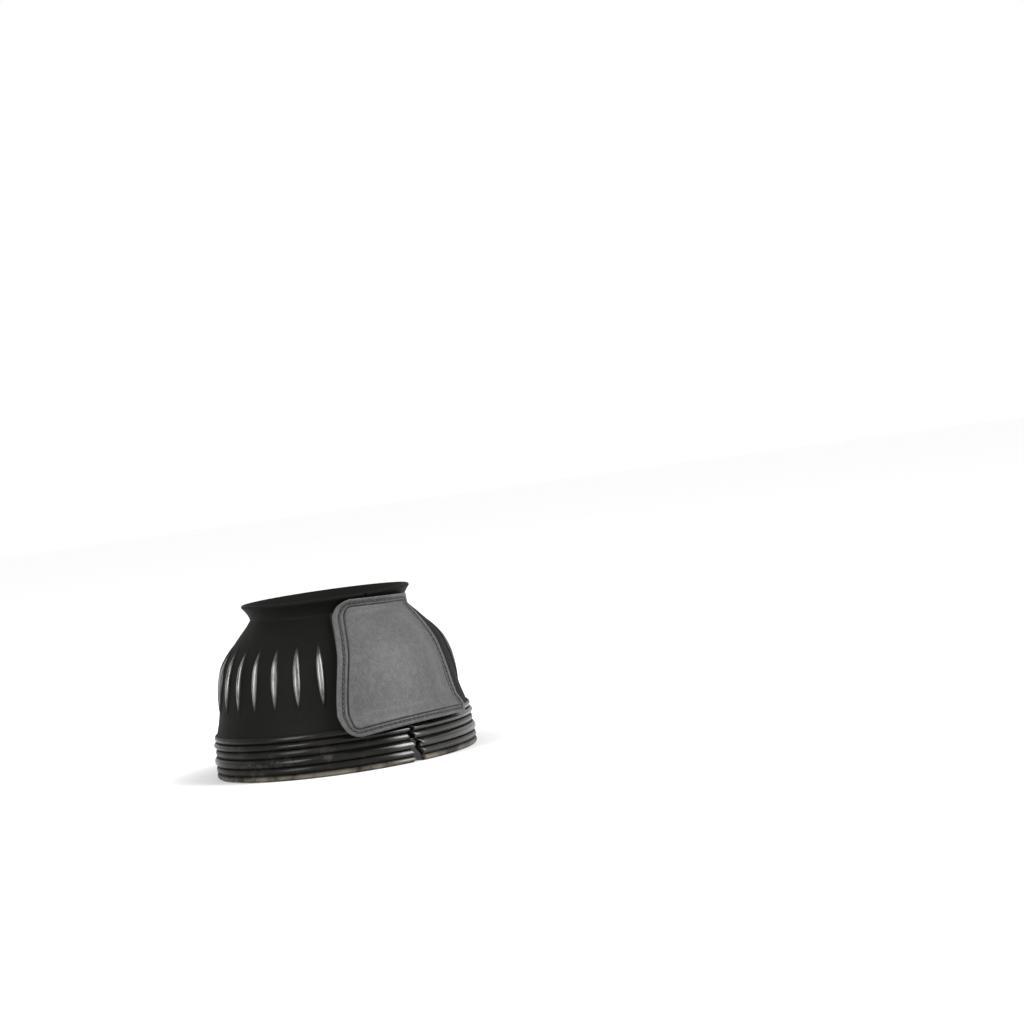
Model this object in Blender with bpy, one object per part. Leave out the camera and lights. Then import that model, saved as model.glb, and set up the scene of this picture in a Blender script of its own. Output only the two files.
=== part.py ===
"""An overreach boot: a moulded rubber bell with a slit, an inner tongue and an outer closing flap.

Metres, +Z up. The bell stands on its rim and its slit faces -Y. Flat pieces are drawn on the unrolled bell: the first
coordinate is the distance round the bell from the slit, to +X, and the second is the height above the rim.
"""

import bisect
import math

import bmesh
import bpy
import numpy as np
from mathutils import Vector

# Bell
BELL_HEIGHT = 0.0948
RIM_RADIUS = 0.0736
BAND_TAPER = 0.0019
NECK_RADIUS = 0.0442
COLLAR_FLARE = 0.0038
COLLAR_FLARE_HEIGHT = 0.0088
WALL = 0.0032
LIP_THICKNESS = 0.0019

# Height and radius from the band's top to the neck, as shares of the way
SHOULDER_SHARES = (
    (0.0, 1.0),
    (0.108, 0.930),
    (0.203, 0.883),
    (0.339, 0.831),
    (0.488, 0.760),
    (0.636, 0.647),
    (0.761, 0.460),
    (0.864, 0.264),
    (0.949, 0.090),
    (1.0, 0.0),
)
COLLAR_FLARE_POWER = 1.7
COLLAR_ROW_SHARES = (0.4, 0.7)
LIP_RISE_SHARE = 0.72
LIP_ROUND_SHARE = 0.3

# Ridged band round the skirt: the heights of the grooves between its ridges, from the rim up, and the ridges' depths
GROOVE_HEIGHTS = (0.0, 0.0031, 0.0072, 0.0123, 0.0167, 0.0205, 0.0245)
RIDGE_DEPTHS = (0.0011, 0.0013, 0.0022, 0.0013, 0.0022, 0.0016)
RIDGE_CREST_SHARES = (-0.42, 0.42)

# Upright ribs round the shoulder
RIB_PITCH = math.radians(12)
FIRST_RIB = math.radians(-39.5)
RIB_COUNT = 23
RIB_LENGTH = 0.0370
RIB_WIDTH = 0.0048
RIB_DEPTH = 0.0019
RIB_BAND_GAP = 0.0118
RIB_SINK = 0.0009
RIB_STEPS = 7
RIB_END_SHARE = 0.08
RIB_SWELL_POWER = 0.75
RIB_SIDE_WIDTH_SHARE = 0.55
RIB_SIDE_DEPTH_SHARE = 0.66

# Slit
SLIT_RIM_GAP = 0.0066
SLIT_TOP_GAP = 0.0010
SLIT_RIM_TURN = math.radians(0.9)
SLIT_BAND_TURN = math.radians(-4.6)

# Clearances
SEAT_GAP = 0.0003
LAYER_GAP = 0.00025
HINGE_GAP = 0.0007

# Flap, measured from the slit along the bell, and from the band's top and the collar's top
FLAP_FREE_REACH_LOW = 0.0450
FLAP_FREE_REACH_HIGH = 0.0205
FLAP_ROOT_REACH_LOW = 0.0425
FLAP_ROOT_REACH_HIGH = 0.0315
FLAP_FREE_BAND_LAP = 0.0067
FLAP_ROOT_BAND_LAP = 0.0042
FLAP_FREE_COLLAR_DROP = 0.0018
FLAP_ROOT_COLLAR_DROP = 0.0045
FREE_SIDE_BOW = 0.0046
LOW_SIDE_BOW = 0.0026
FLAP_THICKNESS = 0.0032
FLAP_WEB = 0.0010
FLAP_FREE_CORNER = 0.0085
FLAP_ROOT_CORNER = 0.0012
FLAP_ROOT_MARGIN = 0.0112
FLAP_LIFT_RUN = 0.0150
FLAP_EDGE_LIFT = 0.0011
FLAP_CROWN = 0.0007
FLAP_CROWN_RUN = 0.0140
FOAM_HINGE_SPACE = 0.0020
FOAM_FACE_GAP = 0.0005
LOOP_THICKNESS = 0.0008
LOOP_HINGE_SPACE = 0.0050

# The flap's border, from its edge inwards: a turned rim, a channel for the thread and a crease round the pad
BORDER_LOW_WIDTH = 0.0046
BORDER_FREE_WIDTH = 0.0062
BORDER_HIGH_WIDTH = 0.0042
BORDER_ROOT_WIDTH = 0.0066
RIM_ROUND = 0.0009
CHANNEL_DEPTH = 0.0005
CREASE_DEPTH = 0.0008
PAD_STEP = 0.0002
PANEL_PLAY = 0.0006
BORDER_INSET_SHARES = (0.0, 0.22, 0.33, 0.78, 0.9, 1.0)
THREAD_INSET_SHARE = 0.55

# Thread
THREAD_RADIUS = 0.00035
THREAD_SIDES = 6
THREAD_END_SPACE = 0.0010
THREAD_GAP = 0.00035

# Tongue, sewn beside the slit under the flap's free end
TONGUE_ROOT_TUCK_LOW = 0.0045
TONGUE_ROOT_SHOW_HIGH = 0.0029
TONGUE_TIP_REACH_LOW = 0.0135
TONGUE_TIP_REACH_HIGH = 0.0065
TONGUE_BAND_GAP = 0.0030
TONGUE_COLLAR_DROP = 0.0075
TONGUE_THICKNESS = 0.0010
TONGUE_ROOT_MARGIN = 0.0118
TONGUE_CORNER = 0.0060
TONGUE_ROOT_CORNER = 0.0030
HOOK_THICKNESS = 0.0008
HOOK_MARGIN = 0.0030

# Seats of the sewn pieces on the bell
SEAT_RAMP = 0.0080
NECK_BRIDGE = 0.0010

# Fineness
ROUND_STEPS = 58
BAND_INNER_ROWS = 3
SHOULDER_INNER_STEPS = 2
CORNER_STEPS = 2
FLAP_ACROSS_STEPS = 14
ROOT_ACROSS_STEPS = 4
FLAP_UP_STEPS = 12
HINGE_SEARCH_STEPS = 40
HINGE_SAMPLES = 24
CORNER_KEEP_SHARE = 0.3
WELD_DISTANCE = 0.000001
SHARP_ANGLE = math.radians(40)

STACK = TONGUE_THICKNESS + LAYER_GAP + HOOK_THICKNESS + SEAT_GAP
BAND_TOP_RADIUS = RIM_RADIUS - BAND_TAPER
BAND_HEIGHT = GROOVE_HEIGHTS[-1]
NECK_HEIGHT = BELL_HEIGHT - COLLAR_FLARE_HEIGHT
LIP_EDGE_HEIGHT = BELL_HEIGHT - LIP_THICKNESS * LIP_RISE_SHARE


def between(low, high, share):
    return low + (high - low) * share


def smooth(share):
    """0 below 0, 1 above 1 and an even rise between them."""
    share = min(1.0, max(0.0, share))
    return share * share * (3 - 2 * share)


def curve_through(points, where):
    """The height at one place of the smooth curve through these points."""
    places, heights = zip(*points)
    slopes = np.gradient(heights, places)
    i = min(max(bisect.bisect_right(places, where) - 1, 0), len(places) - 2)
    span = places[i + 1] - places[i]
    t = (where - places[i]) / span
    rise = heights[i + 1] - heights[i]
    bend = (slopes[i] * span - rise) * (1 - t) - (slopes[i + 1] * span - rise) * t
    return heights[i] + rise * t + bend * t * (1 - t)


def shell_radius(height):
    """The bell's outer radius without its ridges and ribs."""
    if height <= BAND_HEIGHT:
        return between(RIM_RADIUS, BAND_TOP_RADIUS, height / BAND_HEIGHT)
    if height <= NECK_HEIGHT:
        share = curve_through(SHOULDER_SHARES, (height - BAND_HEIGHT) / (NECK_HEIGHT - BAND_HEIGHT))
        return between(NECK_RADIUS, BAND_TOP_RADIUS, share)
    rise = (height - NECK_HEIGHT) / (LIP_EDGE_HEIGHT - NECK_HEIGHT)
    return NECK_RADIUS + COLLAR_FLARE * rise**COLLAR_FLARE_POWER


def place(radius, angle, height):
    """The point at this radius, angle from the slit and height."""
    return Vector((radius * math.sin(angle), -radius * math.cos(angle), height))


def seat_radius(height):
    """Where a piece sewn on the bell lies: on the wall, over the band's top ridge and across the neck's hollow."""
    wall = max(shell_radius(height), NECK_RADIUS + NECK_BRIDGE)
    crest = BAND_TOP_RADIUS + max(RIDGE_DEPTHS)
    ramp = smooth((BAND_HEIGHT + SEAT_RAMP - height) / SEAT_RAMP)
    return max(wall, between(wall, crest, ramp)) + SEAT_GAP


def bow(share):
    """0 at both ends of a side and 1 in its middle."""
    share = min(1.0, max(0.0, share))
    return 4 * share * (1 - share)


def bowed(across, height):
    """A flat point with the bow of the sewn pieces' free side and of their low side."""
    low, high = BAND_HEIGHT - FLAP_FREE_BAND_LAP, BELL_HEIGHT - FLAP_FREE_COLLAR_DROP
    up = (height - low) / (high - low)
    along = (across + FLAP_FREE_REACH_LOW) / (FLAP_FREE_REACH_LOW + FLAP_ROOT_REACH_LOW)
    out = FREE_SIDE_BOW * bow(up) * smooth(-across / FLAP_FREE_REACH_HIGH)
    return across - out, height + LOW_SIDE_BOW * bow(along) * smooth(1 - up)


def lay(across, height, offset):
    """A point of the unrolled bell, this far above the seat, in its place on the bell."""
    across, height = bowed(across, height)
    return place(seat_radius(height) + offset, across / (seat_radius(height) + FLAP_THICKNESS), height)


def material(name, colour, roughness, metallic=0.0):
    made = bpy.data.materials.new(name)
    made.use_nodes = True
    shader = made.node_tree.nodes["Principled BSDF"]
    shader.inputs["Base Color"].default_value = (*colour, 1.0)
    shader.inputs["Roughness"].default_value = roughness
    shader.inputs["Metallic"].default_value = metallic
    made.diffuse_color = (*colour, 1.0)
    return made


def link(name, data, look):
    made = bpy.data.objects.new(name, data)
    bpy.context.scene.collection.objects.link(made)
    data.materials.append(look)
    return made


def add_patch(bm, rows):
    """Quads between rows of points. Rows and points that meet are welded later."""
    verts = [[bm.verts.new(point) for point in row] for row in rows]
    for low, high in zip(verts, verts[1:]):
        for i in range(len(low) - 1):
            bm.faces.new((low[i], low[i + 1], high[i + 1], high[i]))


def closed_mesh(name, patches):
    """One welded mesh of these patches, with its faces pointing out."""
    bm = bmesh.new()
    for rows in patches:
        add_patch(bm, rows)
    bmesh.ops.remove_doubles(bm, verts=bm.verts, dist=WELD_DISTANCE)
    bmesh.ops.dissolve_degenerate(bm, edges=bm.edges, dist=WELD_DISTANCE)
    bmesh.ops.recalc_face_normals(bm, faces=bm.faces)
    mesh = bpy.data.meshes.new(name)
    bm.to_mesh(mesh)
    bm.free()
    mesh.shade_smooth()
    mesh.set_sharp_from_angle(angle=SHARP_ANGLE)
    return mesh


def band_rows():
    """Height and radius of the band's outer face, from the rim up to the last ridge's foot."""
    rows = [(0.0, RIM_RADIUS)]
    for low, high, depth in zip(GROOVE_HEIGHTS, GROOVE_HEIGHTS[1:], RIDGE_DEPTHS):
        shares = RIDGE_CREST_SHARES if depth == max(RIDGE_DEPTHS) else (0.0,)
        for share in shares:
            at = (low + high) / 2 + (high - low) / 2 * share
            rows.append((at, shell_radius(at) + depth * math.cos(share * math.pi / 2)))
        rows.append((high, shell_radius(high)))
    return rows


def shoulder_heights():
    return [between(BAND_HEIGHT, NECK_HEIGHT, share) for share, _ in SHOULDER_SHARES[1:]]


def collar_heights():
    return [between(NECK_HEIGHT, LIP_EDGE_HEIGHT, share) for share in COLLAR_ROW_SHARES] + [LIP_EDGE_HEIGHT]


def wall_inside(height):
    """Height and radius of the inner face opposite the outer face at this height."""
    step = BELL_HEIGHT / len(SHOULDER_SHARES) ** 2
    slope = (shell_radius(height) - shell_radius(height - step)) / step
    lip = smooth((height - NECK_HEIGHT) / COLLAR_FLARE_HEIGHT)
    thick = between(WALL, LIP_THICKNESS, lip) / math.hypot(1, slope)
    return height + thick * slope, shell_radius(height) - thick


def bell_section():
    """Height and radius round the whole section of the wall, from the rim's outer edge up and back down inside."""
    outer = band_rows() + [(height, shell_radius(height)) for height in shoulder_heights() + collar_heights()]
    tip_in = wall_inside(LIP_EDGE_HEIGHT)
    tip_out = outer[-1]
    round_off = LIP_THICKNESS * LIP_ROUND_SHARE
    tip = ((tip_in[0] + tip_out[0]) / 2 + round_off, (tip_in[1] + tip_out[1]) / 2 + round_off)
    inner = [wall_inside(height) for height in reversed(shoulder_heights()[::SHOULDER_INNER_STEPS] + collar_heights())]
    for i in range(BAND_INNER_ROWS - 1):
        inner.append(wall_inside(between(BAND_HEIGHT, 0.0, i / (BAND_INNER_ROWS - 1))))
    return outer + [tip] + inner + [(0.0, RIM_RADIUS - WALL)]


def slit_half_gap(height):
    """Half the slit's width, which grows from the band's top to the rim."""
    opening = max(0.0, 1 - height / BAND_HEIGHT)
    return between(SLIT_TOP_GAP, SLIT_RIM_GAP, opening) / 2


def slit_turn(height):
    """The angle of the slit's middle: it slants across the band."""
    return between(SLIT_RIM_TURN, SLIT_BAND_TURN, min(1.0, height / BAND_HEIGHT))


def bell_mesh():
    section = bell_section()
    rows = []
    for height, radius in section:
        edge = slit_half_gap(height) / radius
        turn = slit_turn(height)
        angles = [turn + between(edge, math.tau - edge, i / ROUND_STEPS) for i in range(ROUND_STEPS + 1)]
        rows.append([place(radius, angle, height) for angle in angles])
    rows.append(rows[0])
    count = len(section)
    ends = []
    for i in (0, ROUND_STEPS):
        ends.append([rows[j][i] for j in range(count)])
    bm = bmesh.new()
    add_patch(bm, rows)
    for loop in ends:
        bm.faces.new([bm.verts.new(point) for point in loop])
    bmesh.ops.remove_doubles(bm, verts=bm.verts, dist=WELD_DISTANCE)
    bmesh.ops.recalc_face_normals(bm, faces=bm.faces)
    bmesh.ops.triangulate(bm, faces=[face for face in bm.faces if len(face.verts) > 4])
    mesh = bpy.data.meshes.new("bell_shell")
    bm.to_mesh(mesh)
    bm.free()
    return mesh


def rib_section(angle, share):
    """The five points of one rib's section, at a share of the way from its lower end to its upper one."""
    low = BAND_HEIGHT + RIB_BAND_GAP
    height = low + RIB_LENGTH * share
    swell = max(RIB_END_SHARE, math.sin(math.pi * share) ** RIB_SWELL_POWER)
    half = RIB_WIDTH / 2 * swell
    depth = RIB_DEPTH * swell - (RIB_SINK if share in (0.0, 1.0) else 0.0)
    radius = shell_radius(height)
    points = []
    for side, up in (
        (-1.0, -RIB_SINK),
        (-RIB_SIDE_WIDTH_SHARE, depth * RIB_SIDE_DEPTH_SHARE),
        (0.0, depth),
        (RIB_SIDE_WIDTH_SHARE, depth * RIB_SIDE_DEPTH_SHARE),
        (1.0, -RIB_SINK),
    ):
        points.append(place(radius + up, angle + half * side / radius, height))
    return points


def rib_mesh():
    """All ribs as separate closed lenses that reach a little into the wall."""
    bm = bmesh.new()
    for i in range(RIB_COUNT):
        angle = FIRST_RIB - i * RIB_PITCH
        rings = []
        for step in range(RIB_STEPS + 1):
            points = rib_section(angle, step / RIB_STEPS)
            rings.append([bm.verts.new(point) for point in points])
        for low, high in zip(rings, rings[1:]):
            for j in range(len(low)):
                k = (j + 1) % len(low)
                bm.faces.new((low[j], low[k], high[k], high[j]))
        bm.faces.new(rings[0])
        bm.faces.new(rings[-1])
    bmesh.ops.recalc_face_normals(bm, faces=bm.faces)
    mesh = bpy.data.meshes.new("bell_ribs")
    bm.to_mesh(mesh)
    bm.free()
    return mesh


def make_bell(look):
    bell = link("bell_shell", bell_mesh(), look)
    ribs = link("bell_ribs", rib_mesh(), look)
    union = bell.modifiers.new("ribs", "BOOLEAN")
    union.operation = "UNION"
    union.object = ribs
    bpy.context.view_layer.update()
    joined = bell.evaluated_get(bpy.context.evaluated_depsgraph_get())
    mesh = bpy.data.meshes.new_from_object(joined)
    bell.modifiers.clear()
    bell.data = mesh
    bpy.data.objects.remove(ribs)
    mesh.shade_smooth()
    mesh.set_sharp_from_angle(angle=SHARP_ANGLE)
    return bell


def flap_corners():
    """The flap's corners on the unrolled bell: root low, free low, free high and root high."""
    return (
        (FLAP_ROOT_REACH_LOW, BAND_HEIGHT - FLAP_ROOT_BAND_LAP),
        (-FLAP_FREE_REACH_LOW, BAND_HEIGHT - FLAP_FREE_BAND_LAP),
        (-FLAP_FREE_REACH_HIGH, BELL_HEIGHT - FLAP_FREE_COLLAR_DROP),
        (FLAP_ROOT_REACH_HIGH, BELL_HEIGHT - FLAP_ROOT_COLLAR_DROP),
    )


def tongue_corners():
    """The tongue's corners on the unrolled bell: root low, tip low, tip high and root high."""
    low = BAND_HEIGHT + TONGUE_BAND_GAP
    high = BELL_HEIGHT - TONGUE_COLLAR_DROP
    return (
        (-(FLAP_FREE_REACH_LOW - TONGUE_ROOT_TUCK_LOW), low),
        (TONGUE_TIP_REACH_LOW, low),
        (TONGUE_TIP_REACH_HIGH, high),
        (-(FLAP_FREE_REACH_HIGH + TONGUE_ROOT_SHOW_HIGH), high),
    )


class Hinge:
    """A straight hinge line through a sewn piece, and the plane that parts the piece there.

    low and high are the line's ends on the unrolled bell, offset is the piece's outer face above its seat, and turn is
    1 where the free part lies towards -X of the line and -1 where it lies towards +X.
    """

    def __init__(self, low, high, offset, turn):
        self.low, self.high = low, high
        start, end = lay(*low, offset), lay(*high, offset)
        middle = (start + end) / 2
        outward = Vector((middle.x, middle.y, 0.0)).normalized()
        self.along = (end - start).normalized()
        self.outward = (outward - self.along * outward.dot(self.along)).normalized()
        self.side = self.along.cross(self.outward)
        self.start = start
        heights = [between(low[1], high[1], i / HINGE_SAMPLES) for i in range(HINGE_SAMPLES + 1)]
        proud = max((lay(self.across(h), h, offset) - start).dot(self.outward) for h in heights)
        self.axis_point = middle + self.outward * (proud + SEAT_GAP)
        self.axis = self.along * turn

    def across(self, height):
        """Where the parting plane crosses the unrolled bell at this height."""
        left, right = -RIM_RADIUS, RIM_RADIUS
        for _ in range(HINGE_SEARCH_STEPS):
            middle = (left + right) / 2
            beyond = (lay(middle, height, 0.0) - self.start).dot(self.side)
            if beyond > 0:
                right = middle
            else:
                left = middle
        return (left + right) / 2


def offset_line(start, end, inset, centre):
    """The line through two points, moved this far towards the centre."""
    run = Vector((end[0] - start[0], end[1] - start[1])).normalized()
    normal = Vector((-run.y, run.x))
    if normal.dot(Vector(centre) - Vector(start)) < 0:
        normal = -normal
    return Vector(start) + normal * inset, run


def crossing(first, second):
    (p, u), (q, v) = first, second
    cross = u.x * v.y - u.y * v.x
    gap = q - p
    return p + u * ((gap.x * v.y - gap.y * v.x) / cross)


def round_corner(corner, before, after, radius):
    """Points round a corner, with the turn's middle one in the middle."""
    back, on = (before - corner).normalized(), (after - corner).normalized()
    half = back.angle(on) / 2
    reach = radius / math.tan(half)
    centre = corner + (back + on).normalized() * (radius / math.sin(half))
    start, end = corner + back * reach - centre, corner + on * reach - centre
    points = []
    for i in range(2 * CORNER_STEPS + 1):
        share = i / (2 * CORNER_STEPS)
        direction = start.normalized().slerp(end.normalized(), share)
        points.append(centre + direction * radius)
    return points


def spread(start, end, steps):
    return [start.lerp(end, i / steps) for i in range(steps + 1)]


def outline(corners, parting, radius, insets, across_steps, up_steps):
    """A panel's edge from the parting line along the low side, up the far side and back along the high side.

    corners are root low, far low, far high and root high. parting gives the near side's place at a height. insets are
    how far the edge lies inside the low, far and high sides.
    """
    centre = [sum(c[k] for c in corners) / len(corners) for k in (0, 1)]
    low = offset_line(corners[0], corners[1], insets[0], centre)
    far = offset_line(corners[1], corners[2], insets[1], centre)
    high = offset_line(corners[2], corners[3], insets[2], centre)
    ends = []
    for line, corner in ((low, corners[0]), (high, corners[3])):
        height = corner[1]
        for _ in range(HINGE_SEARCH_STEPS):
            across = parting(height)
            height = line[0].y + line[1].y / line[1].x * (across - line[0].x)
        ends.append(Vector((across, height)))
    first, second = crossing(low, far), crossing(far, high)
    turn = max(radius - insets[1], radius * CORNER_KEEP_SHARE)
    low_turn = round_corner(first, ends[0], second, turn)
    high_turn = round_corner(second, first, ends[1], turn)
    points = spread(ends[0], low_turn[0], across_steps - CORNER_STEPS)[:-1]
    points += low_turn
    points += spread(low_turn[-1], high_turn[0], up_steps - 2 * CORNER_STEPS)[1:-1]
    points += high_turn
    points += spread(high_turn[-1], ends[1], across_steps - CORNER_STEPS)[1:]
    return points


def even(inset):
    """The same inset for the low, far and high sides."""
    return (inset, inset, inset)


def border_insets(far_width, share):
    """Insets at a share of the border's width on each side."""
    return (BORDER_LOW_WIDTH * share, far_width * share, BORDER_HIGH_WIDTH * share)


def filled(edge, parting, across_steps, up_steps):
    """A grid of points inside an edge of the kind that outline gives, one row for each step up."""
    low = edge[: across_steps + 1]
    far = edge[across_steps : across_steps + up_steps + 1]
    high = edge[across_steps + up_steps :][::-1]
    rows = []
    for j in range(up_steps + 1):
        t = j / up_steps
        height = between(low[0].y, high[0].y, t)
        near = Vector((parting(height), height))
        if j in (0, up_steps):
            near = (low, high)[j // up_steps][0]
        row = []
        for i in range(across_steps + 1):
            s = i / across_steps
            sides = low[i].lerp(high[i], t) + near.lerp(far[j], s)
            corners = low[0].lerp(low[-1], s).lerp(high[0].lerp(high[-1], s), t)
            row.append(sides - corners)
        rows.append(row)
    for j, row in enumerate(rows):
        row[0] = row[0] if 0 < j < up_steps else (low, high)[j // up_steps][0]
        row[-1] = far[j]
    rows[0], rows[-1] = list(low), list(high)
    return rows


def panel_mesh(name, edges, grid, top, bottom):
    """A closed panel: border rings between the edges, a grid inside the last edge, and a wall round it all.

    top and bottom turn a flat point and its edge's number into a point in place.
    """
    last = len(edges) - 1
    patches = []
    for side in (top, bottom):
        rings = [[side(point, k) for point in edge] for k, edge in enumerate(edges)]
        patches += [[low, high] for low, high in zip(rings, rings[1:])]
        patches.append([[side(point, last) for point in row] for row in grid])
    patches.append([[side(point, 0) for point in edges[0]] for side in (top, bottom)])
    near = [(edge[0], k) for k, edge in enumerate(edges)]
    near += [(row[0], last) for row in grid[1:-1]]
    near += [(edge[-1], k) for k, edge in reversed(list(enumerate(edges)))]
    patches.append([[side(point, k) for point, k in near] for side in (top, bottom)])
    return closed_mesh(name, patches)


def flap_lift(point, hinge):
    """How far the flap's back stands above its seat: over the tongue, and a little more at its free low corner."""
    share = (hinge.across(point[1]) - point[0]) / FLAP_LIFT_RUN
    free = smooth(-point[0] / FLAP_FREE_REACH_LOW)
    low = smooth((NECK_HEIGHT - point[1]) / (NECK_HEIGHT - BAND_HEIGHT))
    return STACK * smooth(share) + FLAP_EDGE_LIFT * free * low


def pad_distance(point):
    """The distance of a flat point from the nearest side of the flap's pad."""
    corners = flap_corners()
    widths = (BORDER_LOW_WIDTH, BORDER_FREE_WIDTH, BORDER_HIGH_WIDTH, BORDER_ROOT_WIDTH)
    found = []
    for start, end, width in zip(corners, corners[1:] + corners[:1], widths):
        run = Vector((end[0] - start[0], end[1] - start[1])).normalized()
        gap = Vector((point[0] - start[0], point[1] - start[1]))
        found.append(abs(run.x * gap.y - run.y * gap.x) - width)
    return min(found)


def pad_height(point):
    """The padded face above the flap's back."""
    crown = smooth(pad_distance(point) / FLAP_CROWN_RUN)
    return FLAP_THICKNESS + PAD_STEP + FLAP_CROWN * crown


def cover_top(point, ring):
    steps = (-RIM_ROUND, 0.0, -CHANNEL_DEPTH, -CHANNEL_DEPTH, -CREASE_DEPTH)
    return FLAP_THICKNESS + steps[ring] if ring < len(steps) else pad_height(point)


def flap_edges(parting, corner, across_steps):
    corners, width = flap_corners(), BORDER_FREE_WIDTH
    if corner == FLAP_ROOT_CORNER:
        corners, width = (corners[1], corners[0], corners[3], corners[2]), BORDER_ROOT_WIDTH
    insets = [border_insets(width, share) for share in BORDER_INSET_SHARES]
    return [outline(corners, parting, corner, inset, across_steps, FLAP_UP_STEPS) for inset in insets]


def flap_inner_edge(parting, space, across_steps):
    """The edge of a layer that lies inside the flap's border."""
    return outline(
        flap_corners(),
        lambda height: parting(height) - space,
        FLAP_FREE_CORNER,
        [inset + PANEL_PLAY for inset in border_insets(BORDER_FREE_WIDTH, 1.0)],
        across_steps,
        FLAP_UP_STEPS,
    )


def on_flap(hinge, offset):
    """A function that puts a flat point and its ring on the lifted flap, at the offset that offset gives."""
    return lambda point, ring: lay(point[0], point[1], flap_lift(point, hinge) + offset(point, ring))


def make_flap_cover(hinge, look):
    """The flap's moving leather: a thick turned border round a thin web over the foam."""
    parting = lambda height: hinge.across(height) - HINGE_GAP / 2
    edges = flap_edges(parting, FLAP_FREE_CORNER, FLAP_ACROSS_STEPS)
    grid = filled(edges[-1], parting, FLAP_ACROSS_STEPS, FLAP_UP_STEPS)
    last = len(edges) - 1

    def back(point, ring):
        return pad_height(point) - FLAP_WEB if ring == last else 0.0

    mesh = panel_mesh("flap_cover", edges, grid, on_flap(hinge, cover_top), on_flap(hinge, back))
    return link("flap_cover", mesh, look)


def make_flap_root(hinge, look):
    """The leather's sewn margin, which stays on the bell."""
    parting = lambda height: hinge.across(height) + HINGE_GAP / 2
    edges = flap_edges(parting, FLAP_ROOT_CORNER, ROOT_ACROSS_STEPS)
    grid = filled(edges[-1], parting, ROOT_ACROSS_STEPS, FLAP_UP_STEPS)
    mesh = panel_mesh("flap_root", edges, grid, on_flap(hinge, cover_top), on_flap(hinge, lambda point, ring: 0.0))
    return link("flap_root", mesh, look)


def make_layer(name, hinge, space, back, face, look):
    """A layer inside the flap's border, between two heights above the flap's back."""
    parting = lambda height: hinge.across(height) - space
    edge = flap_inner_edge(hinge.across, space, FLAP_ACROSS_STEPS)
    grid = filled(edge, parting, FLAP_ACROSS_STEPS, FLAP_UP_STEPS)
    mesh = panel_mesh(name, [edge], grid, on_flap(hinge, face), on_flap(hinge, back))
    return link(name, mesh, look)


def make_foam(hinge, look):
    return make_layer(
        "flap_foam",
        hinge,
        FOAM_HINGE_SPACE,
        lambda point, ring: LOOP_THICKNESS + LAYER_GAP,
        lambda point, ring: pad_height(point) - FLAP_WEB - FOAM_FACE_GAP,
        look,
    )


def make_loop_panel(hinge, look):
    return make_layer(
        "flap_loop_panel",
        hinge,
        LOOP_HINGE_SPACE,
        lambda point, ring: 0.0,
        lambda point, ring: LOOP_THICKNESS,
        look,
    )


def make_thread(name, points, look):
    """A thread along these points, as a tube with closed ends."""
    bm = bmesh.new()
    rings = []
    for i, point in enumerate(points):
        along = (points[min(i + 1, len(points) - 1)] - points[max(i - 1, 0)]).normalized()
        side = along.cross(Vector((point.x, point.y, 0.0))).normalized()
        up = side.cross(along)
        ring = []
        for j in range(THREAD_SIDES):
            angle = math.tau * j / THREAD_SIDES
            spoke = side * math.cos(angle) + up * math.sin(angle)
            ring.append(bm.verts.new(point + spoke * THREAD_RADIUS))
        rings.append(ring)
    for low, high in zip(rings, rings[1:]):
        for j in range(THREAD_SIDES):
            k = (j + 1) % THREAD_SIDES
            bm.faces.new((low[j], low[k], high[k], high[j]))
    bm.faces.new(rings[0])
    bm.faces.new(rings[-1])
    bmesh.ops.recalc_face_normals(bm, faces=bm.faces)
    mesh = bpy.data.meshes.new(name)
    bm.to_mesh(mesh)
    bm.free()
    mesh.shade_smooth()
    return link(name, mesh, look)


def make_flap_thread(name, hinge, toward, corner, across_steps, look):
    """The row of stitches in the flap's border, on one side of the hinge."""
    corners, width = flap_corners(), BORDER_FREE_WIDTH
    if toward > 0:
        corners, width = (corners[1], corners[0], corners[3], corners[2]), BORDER_ROOT_WIDTH
    edge = outline(
        corners,
        lambda height: hinge.across(height) + toward * THREAD_END_SPACE,
        corner,
        border_insets(width, THREAD_INSET_SHARE),
        across_steps,
        FLAP_UP_STEPS,
    )
    up = FLAP_THICKNESS - CHANNEL_DEPTH + THREAD_GAP + THREAD_RADIUS
    put = on_flap(hinge, lambda point, ring: up)
    return make_thread(name, [put(point, 0) for point in edge], look)


def tongue_mesh(name, corners, parting, radius, across_steps):
    """A flat panel of the tongue, with an even border for its stitches."""
    insets = (0.0, HOOK_MARGIN / 2, HOOK_MARGIN)
    edges = [outline(corners, parting, radius, even(inset), across_steps, FLAP_UP_STEPS) for inset in insets]
    grid = filled(edges[-1], parting, across_steps, FLAP_UP_STEPS)
    return panel_mesh(
        name,
        edges,
        grid,
        lambda point, ring: lay(point[0], point[1], TONGUE_THICKNESS),
        lambda point, ring: lay(point[0], point[1], 0.0),
    )


def make_tongue(hinge, look):
    """The tongue's moving part, from its hinge across the slit to its tip."""
    parting = lambda height: hinge.across(height) + HINGE_GAP / 2
    mesh = tongue_mesh("tongue", tongue_corners(), parting, TONGUE_CORNER, FLAP_ACROSS_STEPS)
    return link("tongue", mesh, look)


def tongue_root_corners():
    corners = tongue_corners()
    return (corners[1], corners[0], corners[3], corners[2])


def make_tongue_root(hinge, look):
    """The tongue's sewn margin, which stays on the bell."""
    parting = lambda height: hinge.across(height) - HINGE_GAP / 2
    mesh = tongue_mesh("tongue_root", tongue_root_corners(), parting, TONGUE_ROOT_CORNER, ROOT_ACROSS_STEPS)
    return link("tongue_root", mesh, look)


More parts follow.
